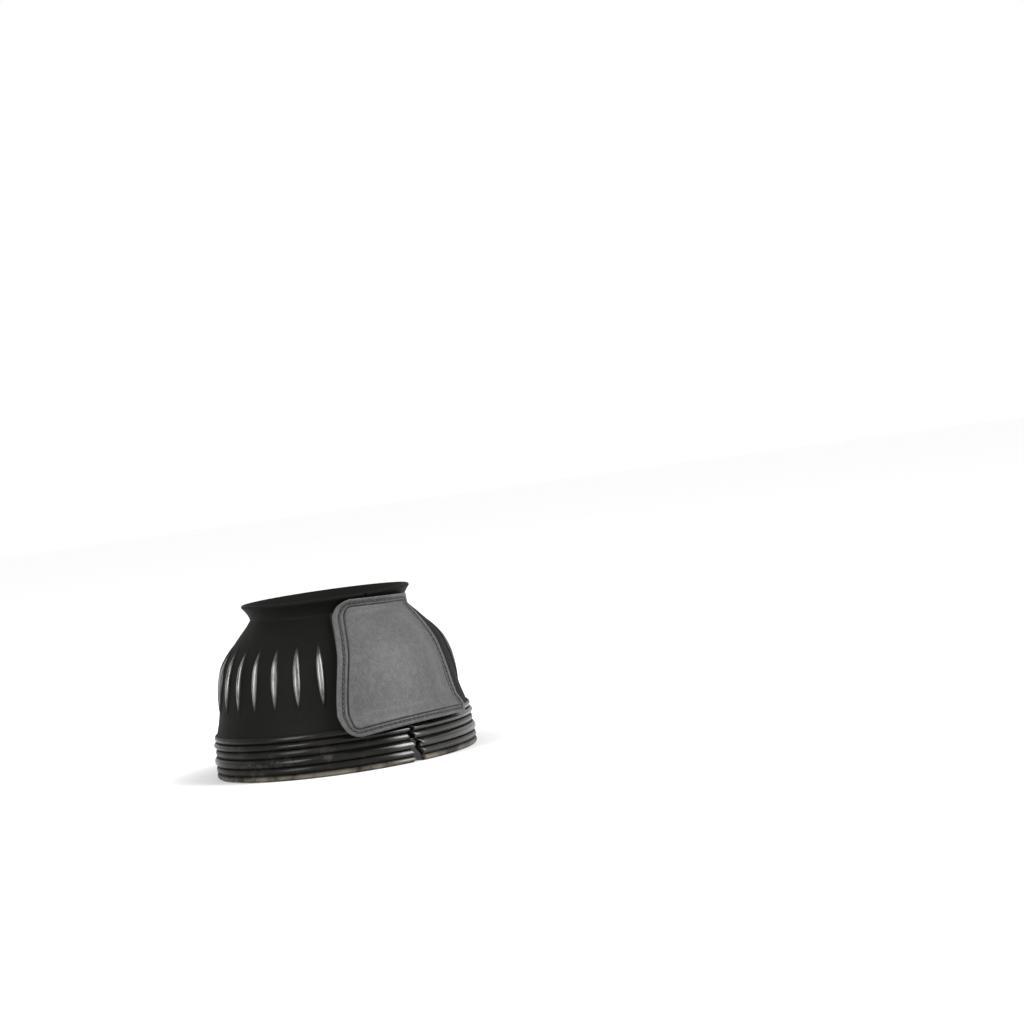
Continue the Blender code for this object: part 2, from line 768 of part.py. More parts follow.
def make_hook_panel(hinge, look):
    """The hook panel on the tongue's face."""
    parting = lambda height: hinge.across(height) + HINGE_GAP / 2 + HOOK_MARGIN
    edge = outline(tongue_corners(), parting, TONGUE_CORNER, even(HOOK_MARGIN), FLAP_ACROSS_STEPS, FLAP_UP_STEPS)
    grid = filled(edge, parting, FLAP_ACROSS_STEPS, FLAP_UP_STEPS)
    low = TONGUE_THICKNESS + LAYER_GAP
    mesh = panel_mesh(
        "tongue_hook_panel",
        [edge],
        grid,
        lambda point, ring: lay(point[0], point[1], low + HOOK_THICKNESS),
        lambda point, ring: lay(point[0], point[1], low),
    )
    return link("tongue_hook_panel", mesh, look)


def make_tongue_thread(hinge, look):
    """The row of stitches that holds the tongue's margin on the bell."""
    edge = outline(
        tongue_root_corners(),
        lambda height: hinge.across(height) - THREAD_END_SPACE,
        TONGUE_ROOT_CORNER,
        even(HOOK_MARGIN / 2),
        ROOT_ACROSS_STEPS,
        FLAP_UP_STEPS,
    )
    up = TONGUE_THICKNESS + THREAD_GAP + THREAD_RADIUS
    return make_thread("tongue_root_thread", [lay(point[0], point[1], up) for point in edge], look)


def make_tongue_border_thread(hinge, look):
    """The row of stitches along the tongue's edge, round the hook panel."""
    edge = outline(
        tongue_corners(),
        lambda height: hinge.across(height) + HINGE_GAP / 2 + THREAD_END_SPACE,
        TONGUE_CORNER,
        even(HOOK_MARGIN / 2),
        FLAP_ACROSS_STEPS,
        FLAP_UP_STEPS,
    )
    up = TONGUE_THICKNESS + THREAD_GAP + THREAD_RADIUS
    return make_thread("tongue_border_thread", [lay(point[0], point[1], up) for point in edge], look)


def make_pivot(name, hinge):
    """An empty on a hinge's axis, which carries the pieces that turn there."""
    pivot = bpy.data.objects.new(name, None)
    bpy.context.scene.collection.objects.link(pivot)
    pivot.location = hinge.axis_point
    return pivot


def carry(pivot, pieces):
    bpy.context.view_layer.update()
    for piece in pieces:
        piece.parent = pivot
        piece.matrix_parent_inverse = pivot.matrix_world.inverted()


def centre_on_origin(pieces, pivots):
    """Moves everything so that the origin is under the middle of the whole boot, on the surface it stands on."""
    bpy.context.view_layer.update()
    corners = np.array([piece.matrix_world @ Vector(c) for piece in pieces for c in piece.bound_box])
    middle = (corners.min(0) + corners.max(0)) / 2
    shift = Vector((-middle[0], -middle[1], 0.0))
    for item in pieces + pivots:
        if item.parent is None:
            item.location += shift
    return shift


def main():
    for item in list(bpy.data.objects):
        bpy.data.objects.remove(item)
    rubber = material("black_rubber", (0.012, 0.012, 0.012), 0.38)
    leather = material("grey_leather", (0.055, 0.058, 0.060), 0.5)
    lining = material("tongue_leather", (0.014, 0.014, 0.015), 0.6)
    foam = material("foam", (0.05, 0.05, 0.05), 0.9)
    loop = material("loop_pile", (0.010, 0.010, 0.011), 0.95)
    hook = material("hook_tape", (0.012, 0.012, 0.013), 0.7)
    thread = material("black_thread", (0.008, 0.008, 0.008), 0.75)

    root_low, _, _, root_high = flap_corners()
    flap_hinge = Hinge(
        (root_low[0] - FLAP_ROOT_MARGIN, root_low[1]),
        (root_high[0] - FLAP_ROOT_MARGIN, root_high[1]),
        FLAP_THICKNESS + PAD_STEP + FLAP_CROWN,
        1,
    )
    tongue_low, _, _, tongue_high = tongue_corners()
    tongue_hinge = Hinge(
        (tongue_low[0] + TONGUE_ROOT_MARGIN, tongue_low[1]),
        (tongue_high[0] + TONGUE_ROOT_MARGIN, tongue_high[1]),
        TONGUE_THICKNESS,
        -1,
    )

    fixed = [
        make_bell(rubber),
        make_flap_root(flap_hinge, leather),
        make_flap_thread("flap_root_thread", flap_hinge, 1, FLAP_ROOT_CORNER, ROOT_ACROSS_STEPS, thread),
        make_tongue_root(tongue_hinge, lining),
        make_tongue_thread(tongue_hinge, thread),
    ]
    on_flap_pivot = [
        make_flap_cover(flap_hinge, leather),
        make_foam(flap_hinge, foam),
        make_loop_panel(flap_hinge, loop),
        make_flap_thread("flap_border_thread", flap_hinge, -1, FLAP_FREE_CORNER, FLAP_ACROSS_STEPS, thread),
    ]
    on_tongue_pivot = [
        make_tongue(tongue_hinge, lining),
        make_hook_panel(tongue_hinge, hook),
        make_tongue_border_thread(tongue_hinge, thread),
    ]
    flap_pivot = make_pivot("flap_pivot", flap_hinge)
    tongue_pivot = make_pivot("tongue_pivot", tongue_hinge)
    carry(flap_pivot, on_flap_pivot)
    carry(tongue_pivot, on_tongue_pivot)
    shift = centre_on_origin(fixed + on_flap_pivot + on_tongue_pivot, [flap_pivot, tongue_pivot])
    for name, hinge in (("flap_hinge", flap_hinge), ("tongue_hinge", tongue_hinge)):
        print(name, "point", [round(v, 6) for v in hinge.axis_point + shift], "axis", [round(v, 6) for v in hinge.axis])
    print("shift of the bell's axis", [round(v, 6) for v in shift])


main()
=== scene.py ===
"""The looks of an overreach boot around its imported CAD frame: rubber bell, flap, tongue, stitches.

Metres, +Z up. The slit faces -Y and the flap is sewn on the +X side. A flat point lies on the
unrolled bell: first the distance round it from the slit, to +X, then the height above the rim.
"""

import math
from functools import partial

import bmesh
import bpy
import numpy as np
from mathutils import Matrix, Vector
from mathutils.kdtree import KDTree


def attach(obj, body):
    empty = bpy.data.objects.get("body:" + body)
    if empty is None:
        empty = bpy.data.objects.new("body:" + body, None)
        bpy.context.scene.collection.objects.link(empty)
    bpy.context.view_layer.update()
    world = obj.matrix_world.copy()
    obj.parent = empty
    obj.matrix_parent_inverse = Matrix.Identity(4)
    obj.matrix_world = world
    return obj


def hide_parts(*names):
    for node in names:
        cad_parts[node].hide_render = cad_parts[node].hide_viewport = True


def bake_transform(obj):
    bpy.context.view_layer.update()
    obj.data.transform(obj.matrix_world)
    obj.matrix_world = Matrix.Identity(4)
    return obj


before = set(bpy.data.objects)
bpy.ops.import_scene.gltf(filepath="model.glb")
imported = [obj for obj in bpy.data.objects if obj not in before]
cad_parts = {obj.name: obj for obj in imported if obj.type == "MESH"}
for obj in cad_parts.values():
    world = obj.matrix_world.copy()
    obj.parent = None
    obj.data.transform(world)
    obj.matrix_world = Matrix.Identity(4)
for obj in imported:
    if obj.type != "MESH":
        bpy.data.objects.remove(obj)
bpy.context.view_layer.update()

MM = 0.001

# The bell, as in the CAD
BELL_HEIGHT = 0.0948
RIM_RADIUS = 0.0736
BAND_TAPER = 0.0019
NECK_RADIUS = 0.0442
COLLAR_FLARE = 0.0038
COLLAR_FLARE_HEIGHT = 0.0088
COLLAR_FLARE_POWER = 1.7
WALL = 0.0032
LIP_THICKNESS = 0.0019
LIP_RISE_SHARE = 0.72
INNER_RIM_HEIGHT = 0.0006
INNER_RIM_BEVEL = 0.0004
AXIS_SHIFT = Vector((0.000041, 0.002794, 0.0))

# The shoulder: share of the way up from the band to the neck, and of the way out from the neck
SHOULDER_SHARES = (
    (0.0, 1.0), (0.108, 0.930), (0.203, 0.883), (0.339, 0.831), (0.488, 0.760),
    (0.636, 0.647), (0.761, 0.460), (0.864, 0.264), (0.949, 0.090), (1.0, 0.0),
)

# Ridged band: heights of the grooves between its ridges, from the rim up, and the ridges' depths
GROOVE_HEIGHTS = (0.0, 0.0031, 0.0072, 0.0123, 0.0167, 0.0205, 0.0245)
RIDGE_DEPTHS = (0.0011, 0.0013, 0.0022, 0.0013, 0.0022, 0.0016)
RIDGE_ROUND_POWER = 0.62

# Ribs
RIB_PITCH = math.radians(12)
FIRST_RIB = math.radians(-39.5)
RIB_COUNT = 23
RIB_LENGTH = 0.0370
RIB_WIDTH = 0.0048
RIB_DEPTH = 0.0019
RIB_BAND_GAP = 0.0118
RIB_SWELL_POWER = 0.75
RIB_ROUND_POWER = 0.8

# Slit
SLIT_RIM_GAP = 0.0066
SLIT_TOP_GAP = 0.0010
SLIT_RIM_TURN = math.radians(0.9)
SLIT_BAND_TURN = math.radians(-4.6)
SLIT_TURN_REACH = math.radians(12)
SLIT_EDGE_ROUND = 0.0005
SLIT_EDGE_WIDTH = 0.0008
SLIT_BITE = 0.0019
SLIT_BITE_FADE = 0.25

# Flap and tongue, as in the CAD
SEAT_GAP = 0.0003
LAYER_GAP = 0.00025
FLAP_FREE_REACH_LOW = 0.0450
FLAP_FREE_REACH_HIGH = 0.0205
FLAP_ROOT_REACH_LOW = 0.0425
FLAP_ROOT_REACH_HIGH = 0.0315
FLAP_FREE_BAND_LAP = 0.0067
FLAP_ROOT_BAND_LAP = 0.0042
FLAP_FREE_COLLAR_DROP = 0.0018
FLAP_ROOT_COLLAR_DROP = 0.0045
FREE_SIDE_BOW = 0.0046
LOW_SIDE_BOW = 0.0026
FLAP_THICKNESS = 0.0032
FLAP_WEB = 0.0010
FLAP_FREE_CORNER = 0.0085
FLAP_ROOT_CORNER = 0.0012
FLAP_ROOT_MARGIN = 0.0112
FLAP_LIFT_RUN = 0.0150
FLAP_EDGE_LIFT = 0.0011
FLAP_CROWN = 0.0007
FLAP_CROWN_RUN = 0.0140
FOAM_HINGE_SPACE = 0.0020
FOAM_FACE_GAP = 0.0005
LOOP_THICKNESS = 0.0008
LOOP_HINGE_SPACE = 0.0050
BORDER_LOW_WIDTH = 0.0046
BORDER_FREE_WIDTH = 0.0062
BORDER_HIGH_WIDTH = 0.0042
BORDER_ROOT_WIDTH = 0.0066
PAD_STEP = 0.0002
PANEL_PLAY = 0.0006
THREAD_INSET_SHARE = 0.55
TONGUE_ROOT_TUCK_LOW = 0.0045
TONGUE_ROOT_SHOW_HIGH = 0.0029
TONGUE_TIP_REACH_LOW = 0.0135
TONGUE_TIP_REACH_HIGH = 0.0065
TONGUE_BAND_GAP = 0.0030
TONGUE_COLLAR_DROP = 0.0075
TONGUE_THICKNESS = 0.0010
TONGUE_ROOT_MARGIN = 0.0118
TONGUE_CORNER = 0.0060
TONGUE_ROOT_CORNER = 0.0030
HOOK_THICKNESS = 0.0008
HOOK_MARGIN = 0.0030
HOOK_HINGE_SPACE = HOOK_MARGIN + 0.00035
SEAT_RAMP = 0.0080
NECK_BRIDGE = 0.0010
STACK = TONGUE_THICKNESS + LAYER_GAP + HOOK_THICKNESS + SEAT_GAP

# The flap's border in section: share of its width inwards, and millimetres above its face
BORDER_SECTION = (
    (0.0, -1.15), (0.015, -0.6), (0.06, -0.22), (0.14, -0.03), (0.24, 0.02),
    (0.34, 0.0), (0.43, -0.12), (0.47, -0.42), (0.55, -0.52), (0.63, -0.42),
    (0.67, -0.14), (0.76, -0.04), (0.84, -0.12), (0.89, -0.52), (0.925, -0.92),
    (0.965, -0.94), (1.0, -0.55), (1.05, -0.16), (1.14, -0.02),
)
# The same for the flap's back, above its lowest face
BACK_SECTION = ((0.0, 0.30), (0.05, 0.08), (0.16, 0.0), (0.5, 0.0), (0.9, 0.0))
PAD_EASE_START = 0.97
PAD_EASE_RUN = 0.2
PAD_EASE_DIP = 0.3
RECESS_START = 0.0001
RECESS_RUN = 0.0011

# Rounded edges. Flap's inner layers: metres inwards, share of the thickness. Hook tape: metres
# inwards, metres off each face. Tongue: the same, face and back apart, with its stitch channel
LAYER_EDGE = ((0.0, 0.5), (0.0001, 0.2), (0.0003, 0.04), (0.0007, 0.0))
HOOK_EDGE = ((0.0, 0.00035), (0.0001, 0.0001), (0.0003, 0.0))
TONGUE_EDGE = (
    (0.0, 0.00042, 0.00042), (0.00012, 0.00012, 0.00012), (0.0005, 0.0, 0.0),
    (HOOK_MARGIN * 0.35, 0.0, 0.0), (HOOK_MARGIN * 0.5, 0.00005, 0.0),
    (HOOK_MARGIN * 0.65, 0.0, 0.0), (HOOK_MARGIN, 0.0, 0.0),
)

# Unevenness of rubber and pad: height, waves round and up, and seed
BELL_UNEVENNESS, BELL_WAVES, BELL_SEED = 0.00006, (9, 160), 2.0
PAD_UNEVENNESS, PAD_WAVES, PAD_SEED = 0.00016, (130, 120), 0.6
PAD_SETTLE_RUN = 0.004
STITCH_PUCKER = 0.00005

# Painted shade in the border's crease and stitch channel: where the crease lies, and half widths as
# shares of the border's width
CREASE_SHARE = 0.945
CREASE_REACH = 0.140
STITCH_SHADE_REACH = 0.18
STITCH_SHADE = 0.95

# Fineness: how closely rows, steps and marks stand. A rib's marks are shares of its half width
PROFILE_STEPS = 1500
SLOPE_STEP = 0.0008
RIM_ROWS = (0.0, 0.00012, 0.0004, 0.0008, 0.0012)
RIDGE_ROWS = (0.015, 0.06, 0.15, 0.275, 0.4, 0.5, 0.6, 0.725, 0.85, 0.94, 0.985, 1.0)
SHOULDER_ROWS = 62
COLLAR_ROWS = 12
LIP_STEPS = 8
INNER_SHOULDER_ROWS = 26
INNER_BAND_ROWS = 7
SLIT_MARKS = tuple(math.radians(mark) for mark in (0.0, 0.12, 0.3, 0.6, 1.0, 1.6, 2.4, 3.4))
RIB_MARKS = (0, 0.12, 0.28, 0.46, 0.64, 0.82, 1, 1.25)
RIB_GAP_MARKS = (0.28, 0.5, 0.72)
RIB_CLEAR = 1.3
RIB_MARK_RADIUS = NECK_RADIUS + 0.7 * (RIM_RADIUS - NECK_RADIUS)
PLAIN_STEP = math.radians(2.2)
HINGE_TABLE = (0.01, BELL_HEIGHT + 0.004, 120)
ACROSS_STEPS = 54
ROOT_STEPS = 10
UP_STEPS = 64
LAYER_STEPS = (30, 40)
TONGUE_STEPS = 36
TONGUE_ROOT_STEPS = 14
HOOK_STEPS = (TONGUE_STEPS, 44)
CORNER_STEPS = 5
SEARCH_STEPS = 34
WELD = 0.0000015
CORNER_KEEP = 0.3
MARK_REACH = 0.00002
SHARP_ANGLE = math.radians(50)

# Stitches
STITCH_PITCH = 0.0027
STITCH_LENGTH_SHARE = 0.86
STITCH_RADIUS = 0.00033
STITCH_END_SHARE = 0.55
STITCH_RISE = 0.00018
STITCH_SIDES = 6
STITCH_RINGS = 6
STITCH_SLANT = math.radians(7)
FLAP_STITCH_SEAT = FLAP_THICKNESS - 0.00048
TONGUE_STITCH_SEAT = TONGUE_THICKNESS + 0.00002
LOOK_AHEAD = 0.0002


def grey(level):
    return (level, level, level)


# Colours
RUBBER_DEEP, RUBBER_PALE = (0.0022, 0.0022, 0.0017), (0.0046, 0.0044, 0.0036)
# The ribs' pale crests: partly worn rubber, partly a painted highlight
RUBBER_RUBBED_AND_HIGHLIGHT = (0.150, 0.150, 0.141)
DUST = (0.125, 0.110, 0.086)
LEATHER_DEEP, LEATHER_PALE = (0.026, 0.0265, 0.026), (0.052, 0.053, 0.0515)
LEATHER_STREAK = (0.086, 0.086, 0.083)
LEATHER_MOTTLE = (0.092, 0.092, 0.089)
LEATHER_PEBBLE = grey(0.025)
LEATHER_CREASE_SHADE = grey(0.006)
TONGUE_DEEP, TONGUE_PALE = grey(0.006), grey(0.012)
TONGUE_PEBBLE = grey(0.003)
THREAD_DEEP, THREAD_PALE = grey(0.006), grey(0.020)
FOAM_DEEP, FOAM_PALE = (0.020, 0.020, 0.021), (0.060, 0.060, 0.062)
PILE_DEEP, PILE_PALE = grey(0.003), (0.016, 0.016, 0.0165)
HOOK_DEEP, HOOK_PALE = grey(0.003), (0.018, 0.018, 0.019)
FLOOR_TONE = grey(0.74)
WHITE = grey(1.0)

# Floor and backdrop
FLOOR_RADIUS = 6.0
FLOOR_SEGMENTS = 96
FLOOR_DROP = 0.0002
# Radii of the floor's painted shadow pool: full painted shadow inside the first, none past the
# second
FLOOR_PAINTED_SHADOW_FULL_TO = 0.074
FLOOR_PAINTED_SHADOW_END = 0.150
FLOOR_GLOW = 0.62
WORLD_LEVEL = 0.35

# Lights: name, place, width and height, and watts
LIGHT_AIM = Vector((0.0, 0.0, 0.05))
LIGHTS = (
    ("key", (0.40, -0.95, 0.60), (0.45, 1.15), 26.0),
    ("left_window", (-1.18, -0.20, 0.60), (0.45, 0.9), 22.0),
    ("top", (0.0, 0.1, 1.3), (0.9, 0.9), 1.5),
)

# Camera, from the photograph
CAMERA_AZIMUTH = math.radians(-32)
CAMERA_ELEVATION = math.radians(6.4)
CAMERA_ROLL = math.radians(8.2)
CAMERA_DISTANCE = 1.6
PIXELS_PER_METRE = 1740.0
CAMERA_CLIP = (0.05, 50.0)
BASE_PIXEL = (348.0, 758.4)
IMAGE_SIZE = 1024
SENSOR = 36.0

DEEPEST_RIDGE = max(RIDGE_DEPTHS)
BAND_TOP_RADIUS = RIM_RADIUS - BAND_TAPER
BAND_HEIGHT = GROOVE_HEIGHTS[-1]
NECK_HEIGHT = BELL_HEIGHT - COLLAR_FLARE_HEIGHT
LIP_EDGE_HEIGHT = BELL_HEIGHT - LIP_THICKNESS * LIP_RISE_SHARE


def between(low, high, share):
    return low + (high - low) * share


def steps_to(low, high, count):
    """Even places from low to high, without low itself."""
    return [between(low, high, i / count) for i in range(1, count + 1)]


def smooth(share):
    """A soft step from 0 to 1, held at both ends."""
    share = min(1.0, max(0.0, share))
    return share * share * (3 - 2 * share)


def bow(share):
    """0 at both ends of a side and 1 in its middle."""
    share = min(1.0, max(0.0, share))
    return 4 * share * (1 - share)


def wander(x, y, seed):
    """A smooth, repeatable unevenness between about -1 and 1."""
    a = math.sin(x * 1.7 + seed) * math.cos(y * 1.3 - seed * 0.7)
    b = math.sin(y * 2.9 + seed * 1.9) * math.cos(x * 2.3 + seed)
    c = math.sin((x + y) * 4.7 + seed * 0.3)
    return 0.5 * a + 0.3 * b + 0.2 * c


# ---- the bell's profile, and places on the bell ----


def shoulder_table():
    """The bell's outer radius without ridges and ribs, at even heights."""
    places, shares = (np.array(column) for column in zip(*SHOULDER_SHARES))
    slopes = np.gradient(shares, places)
    heights = np.linspace(0, LIP_EDGE_HEIGHT, PROFILE_STEPS)
    radii = []
    for height in heights:
        if height <= BAND_HEIGHT:
            radii.append(between(RIM_RADIUS, BAND_TOP_RADIUS, height / BAND_HEIGHT))
        elif height <= NECK_HEIGHT:
            where = (height - BAND_HEIGHT) / (NECK_HEIGHT - BAND_HEIGHT)
            found = int(np.searchsorted(places, where, side="right")) - 1
            i = min(max(found, 0), len(places) - 2)
            span, rise = places[i + 1] - places[i], shares[i + 1] - shares[i]
            t = (where - places[i]) / span
            bend = (slopes[i] * span - rise) * (1 - t) - (slopes[i + 1] * span - rise) * t
            share = shares[i] + rise * t + bend * t * (1 - t)
            radii.append(between(NECK_RADIUS, BAND_TOP_RADIUS, share))
        else:
            rise = (height - NECK_HEIGHT) / (LIP_EDGE_HEIGHT - NECK_HEIGHT)
            radii.append(NECK_RADIUS + COLLAR_FLARE * rise**COLLAR_FLARE_POWER)
    return heights, np.array(radii)


PROFILE = shoulder_table()


def shell_radius(height):
    return float(np.interp(height, *PROFILE))


def place(radius, angle, height):
    """The point at this angle round the bell's axis, from the slit to +X."""
    return Vector((radius * math.sin(angle), -radius * math.cos(angle), height)) + AXIS_SHIFT


def seat_radius(height):
    """The radius that the sewn pieces lie on, which clears the band's ridges."""
    wall = max(shell_radius(height), NECK_RADIUS + NECK_BRIDGE)
    ramp = smooth((BAND_HEIGHT + SEAT_RAMP - height) / SEAT_RAMP)
    return max(wall, between(wall, BAND_TOP_RADIUS + DEEPEST_RIDGE, ramp)) + SEAT_GAP


def bowed(point):
    """A flat point with the bow of the sewn pieces' free side and of their low side."""
    across, height = point
    low, high = BAND_HEIGHT - FLAP_FREE_BAND_LAP, BELL_HEIGHT - FLAP_FREE_COLLAR_DROP
    up = (height - low) / (high - low)
    along = (across + FLAP_FREE_REACH_LOW) / (FLAP_FREE_REACH_LOW + FLAP_ROOT_REACH_LOW)
    out = FREE_SIDE_BOW * bow(up) * smooth(-across / FLAP_FREE_REACH_HIGH)
    return across - out, height + LOW_SIDE_BOW * bow(along) * smooth(1 - up)


def lay(point, offset):
    """A flat point, this far above the seat, in its place on the bell."""
    across, height = bowed(point)
    seat = seat_radius(height)
    return place(seat + offset, across / (seat + FLAP_THICKNESS), height)


# ---- mesh helpers ----


def add_object(name, data):
    made = bpy.data.objects.new(name, data)
    bpy.context.scene.collection.objects.link(made)
    return made


def new_mesh(name, bm, weld=True):
    if weld:
        bmesh.ops.remove_doubles(bm, verts=bm.verts, dist=WELD)
        bmesh.ops.dissolve_degenerate(bm, edges=bm.edges, dist=WELD)
    bmesh.ops.recalc_face_normals(bm, faces=bm.faces)
    mesh = bpy.data.meshes.new(name)
    bm.to_mesh(mesh)
    bm.free()
    mesh.shade_smooth()
    mesh.set_sharp_from_angle(angle=SHARP_ANGLE)
    return add_object(name, mesh)


def join_rows(bm, rows):
    """Faces between rows of points that the mesh already has."""
    for low, high in zip(rows, rows[1:]):
        for i in range(len(low) - 1):
            bm.faces.new((low[i], low[i + 1], high[i + 1], high[i]))


def add_patch(bm, rows):
    join_rows(bm, [[bm.verts.new(point) for point in row] for row in rows])


def pairs(lines):
    """Each line with the one after it, as patches."""
    return [[low, high] for low, high in zip(lines, lines[1:])]


# ---- the bell ----


def ridge_rise(height):
    """How far the band's ridges stand out here. The lowest one turns sharply into the rim."""
    if not 0 <= height < BAND_HEIGHT:
        return 0.0
    i = int(np.searchsorted(GROOVE_HEIGHTS, height, side="right")) - 1
    low, high = GROOVE_HEIGHTS[i], GROOVE_HEIGHTS[i + 1]
    share = (height - low) / (high - low) * 2 - 1
    if i == 0 and share < 0:
        return RIDGE_DEPTHS[0] * (1 + share**3)
    return RIDGE_DEPTHS[i] * (1 - share**2) ** RIDGE_ROUND_POWER


def band_heights():
    """Heights of the band's rows. The rim's own rows stand for the lowest ridge's lower half."""
    rows = list(RIM_ROWS)
    for low, high in zip(GROOVE_HEIGHTS, GROOVE_HEIGHTS[1:]):
        rows += [between(low, high, share) for share in RIDGE_ROWS if low > 0 or share >= 0.5]
    return rows


def rib_rise(angle, height):
    """How far the ribs stand out at this place of the shoulder, with softly faded flanks."""
    share = (height - BAND_HEIGHT - RIB_BAND_GAP) / RIB_LENGTH
    if not 0 < share < 1:
        return 0.0
    swell = math.sin(math.pi * share) ** RIB_SWELL_POWER
    half = RIB_WIDTH / 2 * swell
    best = 0.0
    for turn in (0.0, math.tau, -math.tau):
        index = round((FIRST_RIB - angle - turn) / RIB_PITCH)
        if 0 <= index < RIB_COUNT:
            off = abs(angle + turn - (FIRST_RIB - index * RIB_PITCH)) * shell_radius(height)
            if off < half:
                rise = RIB_DEPTH * swell * (1 - (off / half) ** 2) ** RIB_ROUND_POWER
                best = max(best, rise)
    return best


def slit_edge(height, side):
    """The angle of one edge of the slit. The ridges' cut ends step in and out, like torn rubber."""
    opening = max(0.0, 1 - height / BAND_HEIGHT)
    half = between(SLIT_TOP_GAP, SLIT_RIM_GAP, opening) / 2
    turn = between(SLIT_RIM_TURN, SLIT_BAND_TURN, min(1.0, height / BAND_HEIGHT))
    fade = smooth(opening / SLIT_BITE_FADE)
    step = (ridge_rise(height) / DEEPEST_RIDGE * 2 - 1) * SLIT_BITE * fade
    return turn + (side * half + step) / shell_radius(height)


def bell_angles():
    """Angles round the bell from the slit's +X edge, close together on the ribs and at the slit."""
    angles = [*SLIT_MARKS, *(math.tau - mark for mark in SLIT_MARKS)]
    ribs = sorted((FIRST_RIB - i * RIB_PITCH) % math.tau for i in range(RIB_COUNT))
    half = RIB_WIDTH / 2 / RIB_MARK_RADIUS
    for rib in ribs:
        angles += [rib + half * side * mark for side in (-1, 1) for mark in RIB_MARKS]
    for low, high in zip(ribs, ribs[1:]):
        angles += [between(low + half, high - half, mark) for mark in RIB_GAP_MARKS]
    edge, clear = SLIT_MARKS[-1], RIB_CLEAR * half
    for start, end in ((edge, ribs[0] - clear), (ribs[-1] + clear, math.tau - edge)):
        angles += steps_to(start, end, int((end - start) / PLAIN_STEP))[:-1]
    return sorted(set(angles))


def wall_inside(height):
    """The height and radius of the wall's inner face, straight in from the outer one."""
    slope = (shell_radius(height) - shell_radius(max(0.0, height - SLOPE_STEP))) / SLOPE_STEP
    lip = smooth((height - NECK_HEIGHT) / COLLAR_FLARE_HEIGHT)
    thick = between(WALL, LIP_THICKNESS, lip) / math.hypot(1, slope)
    return height + thick * slope, shell_radius(height) - thick


def bell_section():
    """Height, radius and outer flag of each row: up the wall's outside, then down its inside."""
    rows = [(height, shell_radius(height) + ridge_rise(height), True) for height in band_heights()]
    heights = steps_to(BAND_HEIGHT, NECK_HEIGHT, SHOULDER_ROWS)
    heights += steps_to(NECK_HEIGHT, LIP_EDGE_HEIGHT, COLLAR_ROWS)
    rows += [(height, shell_radius(height), True) for height in heights]
    outer, inner = rows[-1], wall_inside(LIP_EDGE_HEIGHT)
    middle = ((outer[0] + inner[0]) / 2, (outer[1] + inner[1]) / 2)
    radius = math.hypot(outer[0] - inner[0], outer[1] - inner[1]) / 2
    start = math.atan2(outer[0] - middle[0], outer[1] - middle[1])
    for turn in steps_to(start, start + math.pi, LIP_STEPS)[:-1]:
        height, reach = middle[0] + radius * math.sin(turn), middle[1] + radius * math.cos(turn)
        rows.append((height, reach, False))
    rows.append((*inner, False))
    heights = steps_to(LIP_EDGE_HEIGHT, NECK_HEIGHT, COLLAR_ROWS)
    heights += steps_to(NECK_HEIGHT, BAND_HEIGHT, INNER_SHOULDER_ROWS)
    heights += steps_to(BAND_HEIGHT, INNER_RIM_HEIGHT, INNER_BAND_ROWS)
    rows += [(*wall_inside(height), False) for height in heights]
    rows.append((0.0, RIM_RADIUS - WALL + INNER_RIM_BEVEL, False))
    return rows


def close_wall(bm, outer, inner):
    """The wall's end face at the slit, between two lines of points that both rise from the rim."""
    i = j = 0
    while i < len(outer) - 1 or j < len(inner) - 1:
        inner_done = j == len(inner) - 1
        if inner_done or (i < len(outer) - 1 and outer[i + 1].co.z <= inner[j + 1].co.z):
            bm.faces.new((outer[i], outer[i + 1], inner[j]))
            i += 1
        else:
            bm.faces.new((outer[i], inner[j + 1], inner[j]))
            j += 1


def make_bell():
    """The moulded bell. Each point keeps its share of the way up a ridge or rib as its crest."""
    angles, section = bell_angles(), bell_section()
    bm = bmesh.new()
    crest_layer = bm.verts.layers.float.new("crest")
    lines = []
    for height, radius, outer in section:
        line = []
        low, high = slit_edge(height, 1), slit_edge(height, -1)
        for angle in angles:
            back = math.tau - angle
            turned = angle + low * smooth(1 - angle / SLIT_TURN_REACH)
            turned += high * smooth(1 - back / SLIT_TURN_REACH)
            edge = max(0.0, 1 - min(angle, back) * radius / SLIT_EDGE_WIDTH)
            reach, crest = radius + SLIT_EDGE_ROUND * edge**2, 0.0
            if outer:
                rise = rib_rise(turned, height)
                waves = wander(turned * BELL_WAVES[0], height * BELL_WAVES[1], BELL_SEED)
                reach = radius + rise - SLIT_EDGE_ROUND * edge**2 + BELL_UNEVENNESS * waves
                crest = max(ridge_rise(height) / DEEPEST_RIDGE, rise / RIB_DEPTH)
            vert = bm.verts.new(place(reach, turned, height))
            vert[crest_layer] = crest
            line.append(vert)
        lines.append(line)
    join_rows(bm, lines + lines[:1])
    top = max(range(len(section)), key=lambda i: section[i][0])
    for i in (0, len(angles) - 1):
        loop = [line[i] for line in lines]
        close_wall(bm, loop[: top + 1], loop[:top:-1])
    return new_mesh("bell_rubber", bm, weld=False)


# ---- outlines on the unrolled bell ----


def flap_corners():
    """Low sewn, low free, high free and high sewn corner, as for the tongue."""
    return (
        (FLAP_ROOT_REACH_LOW, BAND_HEIGHT - FLAP_ROOT_BAND_LAP),
        (-FLAP_FREE_REACH_LOW, BAND_HEIGHT - FLAP_FREE_BAND_LAP),
        (-FLAP_FREE_REACH_HIGH, BELL_HEIGHT - FLAP_FREE_COLLAR_DROP),
        (FLAP_ROOT_REACH_HIGH, BELL_HEIGHT - FLAP_ROOT_COLLAR_DROP),
    )


